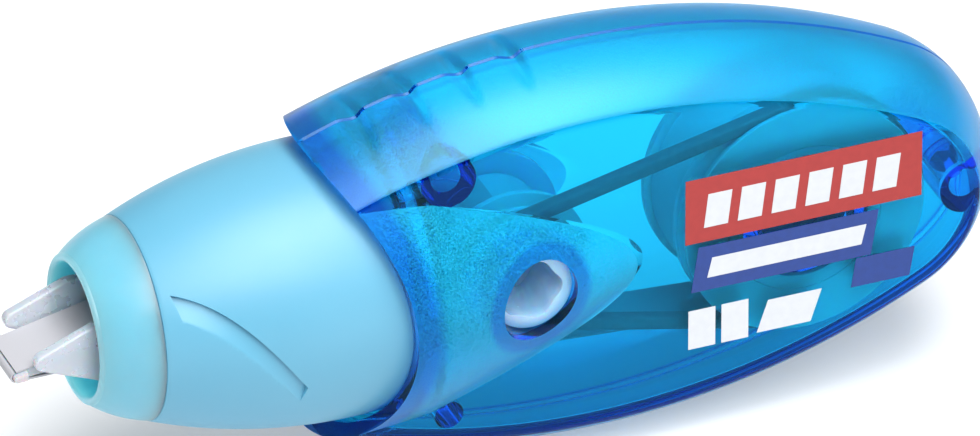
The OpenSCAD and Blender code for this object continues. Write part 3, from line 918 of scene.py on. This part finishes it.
    def half(self, shell: Piece, side: Side, name: str) -> Piece:
        """Cuts one half out of the shell."""
        outline = oblong(*self.space)
        space = Bench.plate("half_space", outline, self.seam_gap * side.value, self.space[2] * side.value)
        return Bench.combine(Bench.copy(shell, name), space, Way.KEEP)

    @staticmethod
    def within(form: Piece, piece: Piece) -> Piece:
        """Cuts a piece to what lies inside the casing's outer form."""
        return Bench.combine(piece, Bench.copy(form, "form_tool"), Way.KEEP)

    def left(self, shell: Piece, form: Piece) -> Piece:
        """Builds the left half, with the rewind window, two sockets and one pin."""
        piece = self.half(shell, Side.LEFT, "left_shell")
        steps = self.post_steps
        tube_r = self.window_r + self.window_wall
        for hub in (self.front_pin, self.tail_pin):
            boss = Bench.rod("boss", hub, self.boss_r, self.seam_gap, self.boss_root)
            Bench.join(piece, self.within(form, boss))
            Bench.cut(piece, Bench.rod("bore", hub, self.bore_r, -self.past, self.bore_reach))
        Bench.join(piece, Bench.rod("pin", self.low_pin, self.pin_r, -self.pin_reach, self.boss_root))
        tube = Bench.rod("window_tube", self.take_up, tube_r, self.window_in, self.window_out, steps)
        Bench.join(piece, self.within(form, tube))
        window = Bench.rod("window", self.take_up, self.window_r, self.past, self.beyond, self.ring_steps)
        Bench.cut(piece, window)
        spigot = Bench.rod("spigot", self.supply, self.spigot_r, self.reel_gap, self.panel_root, steps)
        Bench.join(piece, spigot)
        return piece

    def right(self, shell: Piece, form: Piece) -> Piece:
        """Builds the right half, with the axle posts, the guide post, two pins and one socket."""
        piece = self.half(shell, Side.RIGHT, "right_shell")
        seam, root, steps = -self.seam_gap, -self.boss_root, self.post_steps
        for hub in (self.front_pin, self.tail_pin):
            Bench.join(piece, self.within(form, Bench.rod("boss", hub, self.boss_r, root, seam)))
            Bench.join(piece, Bench.rod("pin", hub, self.pin_r, root, self.pin_reach))
        Bench.join(piece, Bench.rod("boss", self.low_pin, self.boss_r, root, seam))
        Bench.cut(piece, Bench.rod("bore", self.low_pin, self.bore_r, -self.bore_reach, self.past))
        for radius, end in ((self.axle_r, self.axle_end), (self.axle_shoulder_r, -self.reel_gap)):
            Bench.join(piece, Bench.rod("axle", self.take_up, radius, -self.fairing_root, end))
        for radius, end in ((self.post_r, self.post_end), (self.post_shoulder_r, -self.reel_gap)):
            Bench.join(piece, Bench.rod("post", self.supply, radius, -self.panel_root, end, steps))
        Bench.cut(piece, Bench.rod("post_bore", self.supply, self.post_bore_r, *self.post_bore_ends, steps))
        Bench.join(piece, Bench.rod("guide", self.guide, self.guide_r, -self.guide_root, self.guide_end))
        return piece

    def frost_share(self, station: float, depth: float, height: float) -> float:
        """Returns how milky a point of the surface is: the fairing fully, the crown less."""
        if abs(abs(depth) - self.panel_half_w) < self.plane_near:
            return 0.0
        off_fairing = abs(math.hypot(depth, height) - self.fairing_radius(station, 0))
        if station < self.fairing_end_x and off_fairing < self.fairing_near:
            return 1.0
        if abs(depth) > self.panel_half_w:
            return 0.0
        ray = math.atan2(self.tail_x - self.crest_x, self.arc_drop)
        if math.atan2(station - self.tail_x, abs(height)) > ray:
            dropped = self.tail_r - math.hypot(station - self.tail_x, height)
        else:
            dropped = self.arc_r - math.hypot(station - self.crest_x, abs(height) + self.arc_drop)
        sunk = dropped - self.crown_r + math.sqrt(self.crown_r ** 2 - depth ** 2)
        on_crown = -self.crown_near < sunk < self.crown_near + self.dent(station, depth)
        return self.crown_frost if on_crown else 0.0

    def frost(self, piece: Piece) -> None:
        """Marks the frosted faces of a half."""
        marks = piece.data.attributes.new("frost", "FLOAT", "FACE")
        values = []
        for face in piece.data.polygons:
            x, y, z = face.center / MM
            values.append(self.frost_share(x + MID_X, -y, z))
        marks.data.foreach_set("value", values)

    def crisp_windows(self, piece: Piece) -> None:
        """Marks the borders of the flat side windows sharp, outside and inside."""
        planes = (self.panel_half_w, self.panel_half_w - self.wall)
        kinds: dict[tuple[int, int], set[bool]] = {}
        for face in piece.data.polygons:
            depth = abs(face.center.y) / MM
            on_plane = any(abs(depth - plane) < self.flat_near for plane in planes)
            for key in face.edge_keys:
                kinds.setdefault(key, set()).add(on_plane and abs(face.normal.y) > self.flat_normal)
        for edge in piece.data.edges:
            if len(kinds[edge.key]) == 2:
                edge.use_edge_sharp = True

    def build(self) -> None:
        """Builds and dresses both halves."""
        finish = TintedPlastic().make()
        shell, form = self.shell()
        right = self.right(shell, form)
        left = self.left(shell, form)
        for spare in (shell, form):
            bpy.data.objects.remove(spare)
        for piece, node in ((left, "left_casing"), (right, "right_casing")):
            Bench.smooth(piece, sharpen=self.crisp_windows)
            self.frost(piece)
            settle(piece, Body.CASING, "casing", finish, node)


@dataclass
class TurningNose:
    """The twist sleeve and the sliding guard."""

    steps: int = 256
    corner: float = 25.0
    soft_segments: int = 2
    soft_corner: float = 40.0
    sleeve_front: Point = (4.5, 7.9)
    sleeve_rear: Point = (23.35, 10.64)
    sleeve_arc_r: float = 42.0
    sleeve_steps: int = 64
    sleeve_soft: float = 0.08
    bearing_r: float = 8.95
    groove_ends: Point = (19.7, 21.3)
    groove_r: float = 9.35
    cam_in_r: float = 6.5
    cam_out_r: float = 7.7
    cam_rear_x: float = 17.5
    pocket_x: float = 11.0
    guard_lip: Point = (0.32, 5.84)
    guard_rear: Point = (4.46, 7.86)
    guard_arc_r: float = 10.0
    guard_steps: int = 32
    guard_soft: float = 0.05
    mouth_r: float = 5.2
    lip_steps: int = 12
    tube_r: float = 6.2
    tube_rear_x: float = 16.5
    lug_x: float = 14.4
    lug_r: float = 1.0
    lug_root_r: float = 5.7
    lug_reach_r: float = 7.4
    lug_steps: int = 32
    keyway_x: float = 4.0
    keyway_past: float = 1.0
    keyway_half_h: float = 1.2
    keyway_r: float = 5.75
    travel: float = 7.0
    twist_deg: float = 90.0
    slot_half_w: float = 1.9
    slot_room: float = 1.3
    slot_slices: int = 24
    slot_under: float = 0.3
    slot_over: float = 0.1
    scoop_top: tuple[Point, Point, Point] = ((5.4, 49.0), (9.6, 62.0), (14.85, 105.0))
    scoop_low: tuple[Point, Point, Point] = ((5.9, 64.0), (9.6, 77.0), (14.4, 113.0))
    scoop_steps: tuple[int, int] = (40, 8)
    scoop_depth: float = 0.4
    scoop_fade: float = 1.5
    scoop_lift: float = 0.02
    scoop_reach: float = 1.2

    def skin_radius(self, station: float) -> float:
        """Returns the sleeve's outer radius at a station."""
        centre = arc_centre(self.sleeve_front, self.sleeve_rear, self.sleeve_arc_r)
        return centre.y + math.sqrt(self.sleeve_arc_r ** 2 - (station - centre.x) ** 2)

    @staticmethod
    def on_curve(curve: tuple[Point, Point, Point], share: float) -> Point:
        """Returns the point at a share of a curve with three control points."""
        weights = ((1 - share) ** 2, 2 * share * (1 - share), share ** 2)
        return (
            sum(w * p[0] for w, p in zip(weights, curve)),
            sum(w * p[1] for w, p in zip(weights, curve)),
        )

    def scoop(self, half_turn: float) -> Piece:
        """Shapes the cutter of a crescent scoop, deep at its upper edge and fading at its lower one.

        Args:
            half_turn: Turn about the nose axis, in degrees.

        Returns:
            The closed cutter.
        """
        long_steps, wide_steps = self.scoop_steps
        bpy.ops.object.select_all(action="DESELECT")
        bpy.ops.mesh.primitive_grid_add(x_subdivisions=long_steps, y_subdivisions=wide_steps, size=2.0)
        piece = bpy.context.object
        piece.name = "scoop"
        for vertex in piece.data.vertices:
            share, across = (vertex.co.x + 1) / 2, (vertex.co.y + 1) / 2
            top, low = self.on_curve(self.scoop_top, share), self.on_curve(self.scoop_low, share)
            station = top[0] + (low[0] - top[0]) * across
            lean = math.radians(top[1] + (low[1] - top[1]) * across + half_turn)
            sunk = self.scoop_depth * (1 - across ** self.scoop_fade)
            floor = self.skin_radius(station) - sunk + self.scoop_lift * across
            vertex.co = place(station, floor * math.sin(lean), floor * math.cos(lean))
        bpy.ops.object.mode_set(mode="EDIT")
        bpy.ops.mesh.select_all(action="SELECT")
        Bench.extrude(Vector())
        outwards = (1, self.scoop_reach, self.scoop_reach)
        bpy.ops.transform.resize(value=outwards, center_override=(0, 0, 0))
        Bench.close_up()
        return piece

    def cam_slot(self, half_turn: float) -> Piece:
        """Twists the cutter of a helical slot through the cam tube.

        Args:
            half_turn: Turn about the nose axis, in degrees.

        Returns:
            The closed cutter.
        """
        length = self.travel + 2 * self.slot_room
        per_mm = self.twist_deg / self.travel
        front_x = self.lug_x + self.slot_room - length
        lean = math.radians((self.travel + self.slot_room) * per_mm + half_turn)
        low, high, wide = self.cam_in_r - self.slot_under, self.cam_out_r + self.slot_over, self.slot_half_w
        points = []
        for y, z in ((-wide, low), (wide, low), (wide, high), (-wide, high)):
            turned = (y * math.cos(lean) - z * math.sin(lean), y * math.sin(lean) + z * math.cos(lean))
            points.append(place(front_x, -turned[0], turned[1]))
        piece = Bench.trace("cam_slot", points)
        bpy.ops.mesh.edge_face_add()
        turn = math.radians(length * per_mm / self.slot_slices)
        for _ in range(self.slot_slices):
            Bench.extrude(Vector((length / self.slot_slices, 0, 0)) * MM)
            bpy.ops.transform.rotate(value=turn, orient_axis="X", center_override=(0, 0, 0))
        Bench.close_up()
        return piece

    def sleeve(self) -> Piece:
        """Turns the sleeve, cuts its cam slots and scoops its grips."""
        skin = bulge(self.sleeve_front, self.sleeve_rear, self.sleeve_arc_r, self.sleeve_steps)
        groove_x, groove_rear_x = self.groove_ends
        inside = [
            (self.sleeve_rear[0], self.bearing_r), (groove_rear_x, self.bearing_r),
            (groove_rear_x, self.groove_r), (groove_x, self.groove_r), (groove_x, self.bearing_r),
            (self.pocket_x, self.bearing_r), (self.pocket_x, self.cam_out_r),
            (self.cam_rear_x, self.cam_out_r), (self.cam_rear_x, self.cam_in_r),
            (self.sleeve_front[0], self.cam_in_r),
        ]
        piece = Bench.turn_nose("sleeve_skin", skin + inside, self.steps)
        Bench.soften(piece, self.sleeve_soft, self.soft_segments, self.soft_corner)
        for half_turn in (0, 180):
            Bench.cut(piece, self.cam_slot(half_turn))
            Bench.cut(piece, self.scoop(half_turn))
        return Bench.smooth(piece, self.corner)

    def guard(self) -> Piece:
        """Turns the guard, adds its cam lugs and cuts its keyways."""
        skin = bulge(self.guard_lip, self.guard_rear, self.guard_arc_r, self.guard_steps)
        tube = [
            (self.guard_rear[0], self.tube_r), (self.tube_rear_x, self.tube_r),
            (self.tube_rear_x, self.mouth_r),
        ]
        lip_r = (self.guard_lip[1] - self.mouth_r) / 2
        lip = arc((self.guard_lip[0], self.mouth_r + lip_r), lip_r, 270, 90, self.lip_steps)
        piece = Bench.turn_nose("guard_skin", skin[1:] + tube + lip, self.steps)
        Bench.soften(piece, self.guard_soft, self.soft_segments, self.soft_corner)
        for sign in (-1, 1):
            Bench.join(piece, self.lug(sign))
        outline = oblong(self.keyway_x, self.tube_rear_x + self.keyway_past, self.keyway_half_h)
        Bench.cut(piece, Bench.plate("keyway", outline, -self.keyway_r, self.keyway_r))
        return Bench.smooth(piece, self.corner)

    def lug(self, sign: int) -> Piece:
        """Turns one cam lug, above or below the axis."""
        low, high = sign * self.lug_root_r, sign * self.lug_reach_r
        profile = ((0, low), (self.lug_r, low), (self.lug_r, high), (0, high))
        piece = Bench.trace("lug", [place(self.lug_x + r, 0, z) for r, z in profile], closed=False)
        Bench.spin(place(self.lug_x, 0, 0), UPRIGHT, 360, self.lug_steps)
        Bench.close_up()
        return piece

    def build(self) -> None:
        """Builds and dresses the sleeve and the guard."""
        sleeve_finish = SatinPlastic("sleeve_plastic", (0.125, 0.375, 0.525), (0.115, 0.362, 0.512)).make()
        guard_finish = SatinPlastic(
            "guard_plastic", (0.165, 0.45, 0.60), (0.155, 0.437, 0.585),
            rough=(0.3, 0.38), glow=1.0, glow_depth=0.008,
        ).make()
        settle(self.sleeve(), Body.SLEEVE, "sleeve", sleeve_finish, "twist_sleeve")
        settle(self.guard(), Body.GUARD, "guard", guard_finish, "tip_guard")


@dataclass
class TapeTip:
    """The milky tip holder with its fins, and the blade."""

    corner: float = 28.0
    rear_x: float = 25.1
    fin_in: float = 2.8
    fin_out: float = 3.7
    fin_half_h: float = 2.5
    fin_full_x: float = 0.6
    fin_nose_x: float = -3.7
    fin_nose_r: float = 0.7
    fin_nose_arc: Point = (110.0, 250.0)
    fin_steps: int = 14
    fin_soft: float = 0.2
    fin_segments: int = 3
    fin_corner: float = 25.0
    fin_overlap: float = 0.3
    web_x: float = 4.0
    web_half_t: float = 0.6
    rail_x: float = 4.6
    rail_out: float = 5.5
    rail_half_h: float = 0.9
    bar_x: float = 20.0
    bar_out: float = 8.5
    bar_half_h: float = 1.4
    pin: Point = (18.0, -2.0)
    pin_r: float = 0.4
    pin_half_l: float = 3.1
    pin_steps: int = 24
    edge: Point = (-5.55, -1.4)
    edge_r: float = 0.25
    edge_steps: int = 10
    root_x: float = 3.95
    root_half_t: float = 0.9
    blade_half_w: float = 2.5
    foot_half_w: float = 3.0
    foot_l: float = 1.1
    foot_soft: float = 0.06
    foot_segments: int = 2
    foot_corner: float = 50.0

    def bar(self, name: str, front_x: float, half_h: float, near: float, far: float) -> Piece:
        """Extrudes a flat bar from a station back to the collar's rear."""
        return Bench.plate(name, oblong(front_x, self.rear_x, half_h), near, far)

    def holder(self) -> Piece:
        """Joins the fins, web, rails, cross bars and tape pin."""
        nose = arc((self.fin_nose_x, 0), self.fin_nose_r, *self.fin_nose_arc, self.fin_steps)
        tail = oblong(self.fin_full_x, self.rear_x, self.fin_half_h)
        web_w = self.fin_in + self.fin_overlap
        piece = self.bar("tip_fins", self.web_x, self.web_half_t, -web_w, web_w)
        for sign in (-1, 1):
            near = sign * self.fin_in
            fin = Bench.plate("fin", nose + tail, near, sign * self.fin_out)
            Bench.soften(fin, self.fin_soft, self.fin_segments, self.fin_corner)
            Bench.join(piece, fin)
            Bench.join(piece, self.bar("rail", self.rail_x, self.rail_half_h, near, sign * self.rail_out))
            Bench.join(piece, self.bar("bar", self.bar_x, self.bar_half_h, near, sign * self.bar_out))
        pin = Bench.rod("tape_pin", self.pin, self.pin_r, -self.pin_half_l, self.pin_half_l, self.pin_steps)
        Bench.join(piece, pin)
        return Bench.smooth(piece, self.corner)

    def blade_outline(self, end_x: float) -> list[Point]:
        """Lists the blade's side outline, cut off at a station."""
        top, low = (self.root_x, self.root_half_t), (self.root_x, -self.root_half_t)
        first = touch(self.edge, self.edge_r, top, 0, 1)
        last = touch(self.edge, self.edge_r, low, 0, -1)
        outline = arc(self.edge, self.edge_r, first, last, self.edge_steps)
        for start, root in ((outline[-1], low), (outline[0], top)):
            share = (end_x - start[0]) / (root[0] - start[0])
            outline.append((end_x, start[1] + (root[1] - start[1]) * share))
        return outline

    def blade(self) -> Piece:
        """Joins the tapered tongue and its wider foot."""
        outline = self.blade_outline(self.root_x)
        piece = Bench.plate("tip_tongue", outline, -self.blade_half_w, self.blade_half_w)
        foot_x = self.edge[0] - self.edge_r + self.foot_l
        foot = Bench.plate("foot", self.blade_outline(foot_x), -self.foot_half_w, self.foot_half_w)
        Bench.soften(foot, self.foot_soft, self.foot_segments, self.foot_corner)
        Bench.join(piece, foot)
        return Bench.smooth(piece, self.corner)

    def build(self) -> None:
        """Builds and dresses the holder and the blade."""
        fins = MilkyPlastic("fin_plastic", (0.69, 0.75, 0.82), (0.675, 0.735, 0.805), clear=0.45).make()
        tongue = MilkyPlastic("blade_plastic", (0.50, 0.52, 0.56), (0.47, 0.49, 0.54), clear=0.1).make()
        settle(self.holder(), Body.CASING, "tip", fins, "tip_holder")
        settle(self.blade(), Body.CASING, "tip", tongue, "applicator_blade")


@dataclass
class Reels:
    """The two tape reels, their pulleys, the wound tape and the belt."""

    supply: Point = Casing.supply
    take_up: Point = Casing.take_up
    steps: int = 160
    supply_hub: Profile = ((5.05, -3.45), (9.75, -3.45), (9.75, -2.8), (6.2, -2.8), (6.2, 5.55), (5.05, 5.55))
    supply_wheel: Profile = (
        (6.2, 2.8), (9.75, 2.8), (9.75, 3.75), (8.8, 3.75),
        (8.8, 5.15), (9.75, 5.15), (9.75, 5.55), (6.2, 5.55),
    )
    take_up_hub: Profile = (
        (0, -3.45), (6.2, -3.45), (6.2, -2.8), (3.35, -2.8), (3.35, 5.55), (3.25, 5.55), (3.25, 7.8), (0, 7.8),
    )
    take_up_wheel: Profile = (
        (3.35, 2.8), (6.2, 2.8), (6.2, 3.35), (5.0, 3.35), (5.0, 3.75), (3.7, 3.75),
        (3.7, 5.15), (5.0, 5.15), (5.0, 5.55), (3.35, 5.55),
    )
    wheel_soft: float = 0.1
    small_soft: float = 0.08
    soft_segments: int = 2
    soft_corner: float = 40.0
    hub_soft: float = 0.12
    hub_segments: int = 3
    axle_bore_r: float = 1.65
    axle_bore_ends: Point = (-5.0, 2.175)
    socket_r: float = 2.34
    socket_wave: float = 0.16
    socket_lobes: int = 5
    socket_steps: int = 120
    socket_ends: Point = (3.2, 12.0)
    tape_half_w: float = 2.5
    turn_inset: float = 0.04
    turn_levels: int = 3
    turn_stride: int = 7
    turn_gap: float = 0.02
    belt_near: float = 3.85
    belt_far: float = 5.05
    belt_t: float = 1.1
    belt_soft: float = 0.2
    belt_steps: tuple[int, int] = (72, 36)
    belt_corner: float = 50.0
    supply_belt_r: float = 8.9
    take_up_belt_r: float = 3.8

    def wheel(self, name: str, hub: Point, profile: Profile, soft: float) -> Piece:
        """Turns a moulded wheel and rounds its edges."""
        piece = Bench.turn_across(name, hub, profile, self.steps)
        Bench.soften(piece, soft, self.soft_segments, self.soft_corner)
        return Bench.smooth(piece)

    def wavy_ring(self) -> list[Point]:
        """Lists the outline of the hub's tool socket, with its soft lobes."""
        points = []
        for i in range(self.socket_steps):
            lean = 2 * math.pi * i / self.socket_steps
            radius = self.socket_r + self.socket_wave * math.cos(self.socket_lobes * lean)
            station = self.take_up[0] + radius * math.cos(lean)
            points.append((station, self.take_up[1] + radius * math.sin(lean)))
        return points

    def take_up_spool(self) -> Piece:
        """Turns the take-up hub and cuts its axle bore and lobed tool socket."""
        piece = Bench.turn_across("take_up_hub", self.take_up, self.take_up_hub, self.steps, closed=False)
        Bench.soften(piece, self.hub_soft, self.hub_segments, self.soft_corner)
        Bench.cut(piece, Bench.rod("axle_bore", self.take_up, self.axle_bore_r, *self.axle_bore_ends))
        Bench.cut(piece, Bench.plate("socket", self.wavy_ring(), *self.socket_ends))
        return Bench.smooth(piece)

    def wound(self, name: str, hub: Point, in_r: float, out_r: float, turns: int) -> Piece:
        """Turns a roll of tape whose side faces show its turns.

        Args:
            name: Name of the new piece.
            hub: Station and height of its axle.
            in_r: Inner radius.
            out_r: Outer radius.
            turns: Turns that show on its side faces.

        Returns:
            The roll.
        """
        side = []
        for i in range(turns):
            low = in_r + (out_r - in_r) * i / turns
            high = in_r + (out_r - in_r) * (i + 1) / turns
            depth = self.tape_half_w - self.turn_inset * ((i * self.turn_stride) % self.turn_levels)
            side.extend([(low, depth), (high - self.turn_gap, depth)])
        profile = side + [(r, -y) for r, y in reversed(side)]
        return Bench.smooth(Bench.turn_across(name, hub, profile, self.steps))

    def belt(self) -> Piece:
        """Sweeps the belt's rounded section round both wheels."""
        upper = touch(self.supply, self.supply_belt_r, self.take_up, self.take_up_belt_r, -1)
        lower = touch(self.supply, self.supply_belt_r, self.take_up, self.take_up_belt_r, 1)
        wrap = upper + 360 - lower
        soft, near, far = self.belt_soft, self.belt_near, self.belt_far
        low, high = self.supply_belt_r, self.supply_belt_r + self.belt_t
        section = [
            (low, near + soft), (low + soft, near), (high - soft, near), (high, near + soft),
            (high, far - soft), (high - soft, far), (low + soft, far), (low, far - soft),
        ]
        lean = math.radians(lower)
        out_x, out_z = math.cos(lean), math.sin(lean)
        points = [place(self.supply[0] + r * out_x, y, self.supply[1] + r * out_z) for r, y in section]
        piece = Bench.trace("belt_loop", points)
        reach = self.supply_belt_r - self.take_up_belt_r
        span = Vector(self.take_up) - Vector(self.supply)
        supply_steps, take_up_steps = self.belt_steps
        Bench.spin(place(self.supply[0], 0, self.supply[1]), ACROSS, -wrap, supply_steps)
        self.draw(upper, span, reach)
        Bench.spin(place(self.take_up[0], 0, self.take_up[1]), ACROSS, wrap - 360, take_up_steps)
        self.draw(lower, -span, -reach)
        Bench.close_up()
        return Bench.smooth(piece, self.belt_corner)

    @staticmethod
    def draw(degrees: float, span: Vector, reach: float) -> None:
        """Extrudes the belt straight from one wheel to the other.

        Args:
            degrees: Direction of the touching points from the axles.
            span: From one axle to the other.
            reach: How much smaller the next wheel is.
        """
        lean = math.radians(degrees)
        shift = span - reach * Vector((math.cos(lean), math.sin(lean)))
        Bench.extrude(Vector((shift.x, 0, shift.y)) * MM)

    def build(self) -> None:
        """Builds and dresses the reels and the belt."""
        disc = MilkyPlastic(
            "reel_plastic", (0.94, 0.97, 0.98), (0.92, 0.96, 0.975), rough=(0.15, 0.25), clear=0.1, glow=0.3
        ).make()
        hub = MilkyPlastic(
            "hub_plastic", (0.52, 0.73, 0.93), (0.49, 0.71, 0.91),
            rough=(0.2, 0.3), clear=0.15, glow=0.9, glow_depth=0.005,
        ).make()
        core = SatinPlastic("core_plastic", (0.07, 0.26, 0.55), (0.06, 0.23, 0.50)).make()
        fresh = TapeFilm("fresh_tape", (0.90, 0.90, 0.88), (0.80, 0.81, 0.80)).make()
        spent = TapeFilm("spent_tape", (0.60, 0.70, 0.73), (0.52, 0.62, 0.66), rough=(0.27, 0.43)).make()
        supply_hub = self.wheel("supply_hub", self.supply, self.supply_hub, self.wheel_soft)
        settle(supply_hub, Body.SUPPLY, "reel", disc, "supply_spool")
        supply_wheel = self.wheel("supply_wheel", self.supply, self.supply_wheel, self.wheel_soft)
        settle(supply_wheel, Body.SUPPLY, "reel", disc, "supply_pulley")
        settle(self.wound("core_ring", self.supply, 6.2, 7.0, 1), Body.SUPPLY, "core", core, "tape_core")
        settle(self.wound("fresh_roll", self.supply, 7.0, 9.3, 14), Body.SUPPLY, "tape", fresh, "tape_roll")
        settle(self.take_up_spool(), Body.TAKE_UP, "hub", hub, "take_up_spool")
        take_up_wheel = self.wheel("take_up_wheel", self.take_up, self.take_up_wheel, self.small_soft)
        settle(take_up_wheel, Body.TAKE_UP, "reel", disc, "take_up_pulley")
        spent_roll = self.wound("spent_roll", self.take_up, 3.35, 4.6, 8)
        settle(spent_roll, Body.TAKE_UP, "carrier", spent, "used_tape_roll")
        settle(self.belt(), Body.CASING, "belt", BeltRubber().make(), "drive_belt")


@dataclass
class PanelPrint:
    """Plain bars of ink on the left side window."""

    near: float = Casing.panel_half_w
    ink: float = 0.03
    block_x: float = 47.9
    block_pitch: float = 2.75
    block_w: float = 2.3
    block_count: int = 6
    dash_x: float = 46.7
    dash_pitch: float = 2.7
    dash_w: float = 2.2
    dash_count: int = 2

    def bar(self, name: str, outline: Sequence[Point], finish: Material, layers: int = 1) -> None:
        """Lays one inked shape on the window, thicker where it covers other ink."""
        piece = Bench.plate(name, outline, self.near, self.near + layers * self.ink)
        settle(Bench.smooth(piece), Body.CASING, "casing", finish)

    @staticmethod
    def slanted(left: float, right: float, low: float, high: float, lean: float) -> list[Point]:
        """Lists the corners of a bar with slanted ends."""
        return [(left, low), (right - lean, low), (right, high), (left + lean, high)]

    def build(self) -> None:
        """Prints the generic bars and dashes."""
        red = PrintInk("red_ink", (0.37, 0.024, 0.021), (0.34, 0.021, 0.019)).make()
        blue = PrintInk("blue_ink", (0.006, 0.04, 0.24), (0.005, 0.035, 0.21)).make()
        white = PrintInk("white_ink", (0.62, 0.64, 0.66), (0.59, 0.61, 0.64)).make()
        self.bar("print_red_bar", self.slanted(46.4, 65.7, 0.75, 6.4, 0.0), red)
        self.bar("print_blue_bar", self.slanted(46.9, 62.2, -3.6, 0.3, 0.6), blue)
        self.bar("print_blue_tab", self.slanted(60.0, 65.2, -6.2, -3.7, 0.4), blue)
        self.bar("print_white_band", self.slanted(48.2, 61.2, -2.5, -0.8, 0.4), white, 2)
        for i in range(self.block_count):
            left = self.block_x + self.block_pitch * i
            self.bar(f"print_block_{i}", self.slanted(left, left + self.block_w, 2.0, 4.9, 0.35), white, 2)
        self.bar("print_white_flag", self.slanted(52.3, 57.6, -8.4, -5.7, 0.9), white)
        for i in range(self.dash_count):
            left = self.dash_x + self.dash_pitch * i
            self.bar(f"print_dash_{i}", self.slanted(left, left + self.dash_w, -8.6, -5.2, 0.0), white)


@dataclass
class Studio:
    """The pale floor, the soft lights and the camera."""

    azimuth: float = 247.93
    elevation: float = 32.2
    aim: tuple[float, float, float] = (-0.00011, 0.0, 0.00193)
    distance: float = 1.4
    lens: float = 684.0
    sensor: float = 36.0
    clip_start: float = 0.01
    floor_z: float = -0.01635
    floor_size: float = 6.0
    floor_main: Colour = (0.56, 0.57, 0.58)
    floor_other: Colour = (0.55, 0.56, 0.57)
    floor_grain_per_metre: float = 400.0
    floor_grain_detail: float = 3.0
    floor_rough: float = 0.9
    floor_glow: Colour = (0.97, 0.985, 1.0)
    floor_glow_strength: float = 0.38
    air: Colour = (0.96, 0.98, 1.0)
    air_strength: float = 0.2

    def floor(self) -> None:
        """Lays the floor, with a fine grain."""
        bpy.ops.object.select_all(action="DESELECT")
        bpy.ops.mesh.primitive_plane_add(size=self.floor_size)
        floor = bpy.context.object
        floor.name = "studio_floor"
        bpy.ops.transform.translate(value=(0, 0, self.floor_z))
        bpy.ops.object.transform_apply(location=True, rotation=True, scale=True)
        shader = Shader("studio_paper")
        grain = shader.noise(self.floor_grain_per_metre, self.floor_grain_detail)
        shader.set(Emission_Color=(*self.floor_glow, 1.0), Emission_Strength=self.floor_glow_strength)
        shader.set(Roughness=self.floor_rough)
        shader.feed("Base Color", shader.tint(grain, self.floor_main, self.floor_other))
        floor.data.materials.append(shader.material)

    def light(self, name: str, spot: Vector, size: float, watts: float) -> None:
        """Hangs one soft square light that faces the part."""
        bpy.ops.object.light_add(type="AREA", location=spot)
        light = bpy.context.object
        light.name = name
        light.data.shape = "SQUARE"
        light.data.size = size
        light.data.energy = watts
        light.rotation_euler = (-spot).to_track_quat("-Z", "Y").to_euler()

    def world(self) -> None:
        """Fills the studio with even pale light."""
        world = bpy.context.scene.world or bpy.data.worlds.new("studio")
        bpy.context.scene.world = world
        world.use_nodes = True
        back = world.node_tree.nodes["Background"]
        back.inputs["Color"].default_value = (*self.air, 1.0)
        back.inputs["Strength"].default_value = self.air_strength

    def camera(self) -> None:
        """Sets the camera at the photograph's angle."""
        turn, rise = math.radians(self.azimuth), math.radians(self.elevation)
        back = Vector((math.cos(rise) * math.cos(turn), math.cos(rise) * math.sin(turn), math.sin(rise)))
        bpy.ops.object.camera_add(location=Vector(self.aim) + back * self.distance)
        camera = bpy.context.object
        camera.rotation_euler = (math.pi / 2 - rise, 0.0, turn + math.pi / 2)
        camera.data.lens = self.lens
        camera.data.sensor_width = self.sensor
        camera.data.clip_start = self.clip_start
        bpy.context.scene.camera = camera

    def build(self) -> None:
        """Sets up the whole studio."""
        self.floor()
        self.world()
        self.light("key_light", Vector((-0.05, -0.45, 0.62)), 0.5, 6.5)
        self.light("top_light", Vector((0.1, -0.10, 0.70)), 0.4, 4.8)
        self.camera()
        bpy.context.scene.view_settings.view_transform = "Standard"


def write_sizes() -> None:
    """Updates the view layer."""
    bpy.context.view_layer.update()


def main() -> None:
    """Builds every sub-assembly in order."""
    logging.basicConfig(level=logging.INFO, format="%(message)s")
    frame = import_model()
    for group in (Studio, Casing, TurningNose, TapeTip, Reels, PanelPrint):
        group().build()
    collar = MilkyPlastic("collar_plastic", (0.82, 0.86, 0.90), (0.77, 0.82, 0.87)).make()
    tape = TapeFilm("tape_run", (0.44, 0.44, 0.47), (0.41, 0.41, 0.44)).make()
    for node, finish in (("nose_collar", collar), ("fresh_tape_run", tape), ("used_tape_run", tape)):
        frame["nodes"][node].data.materials.clear()
        frame["nodes"][node].data.materials.append(finish)
    write_sizes()


if __name__ == "__main__":
    main()
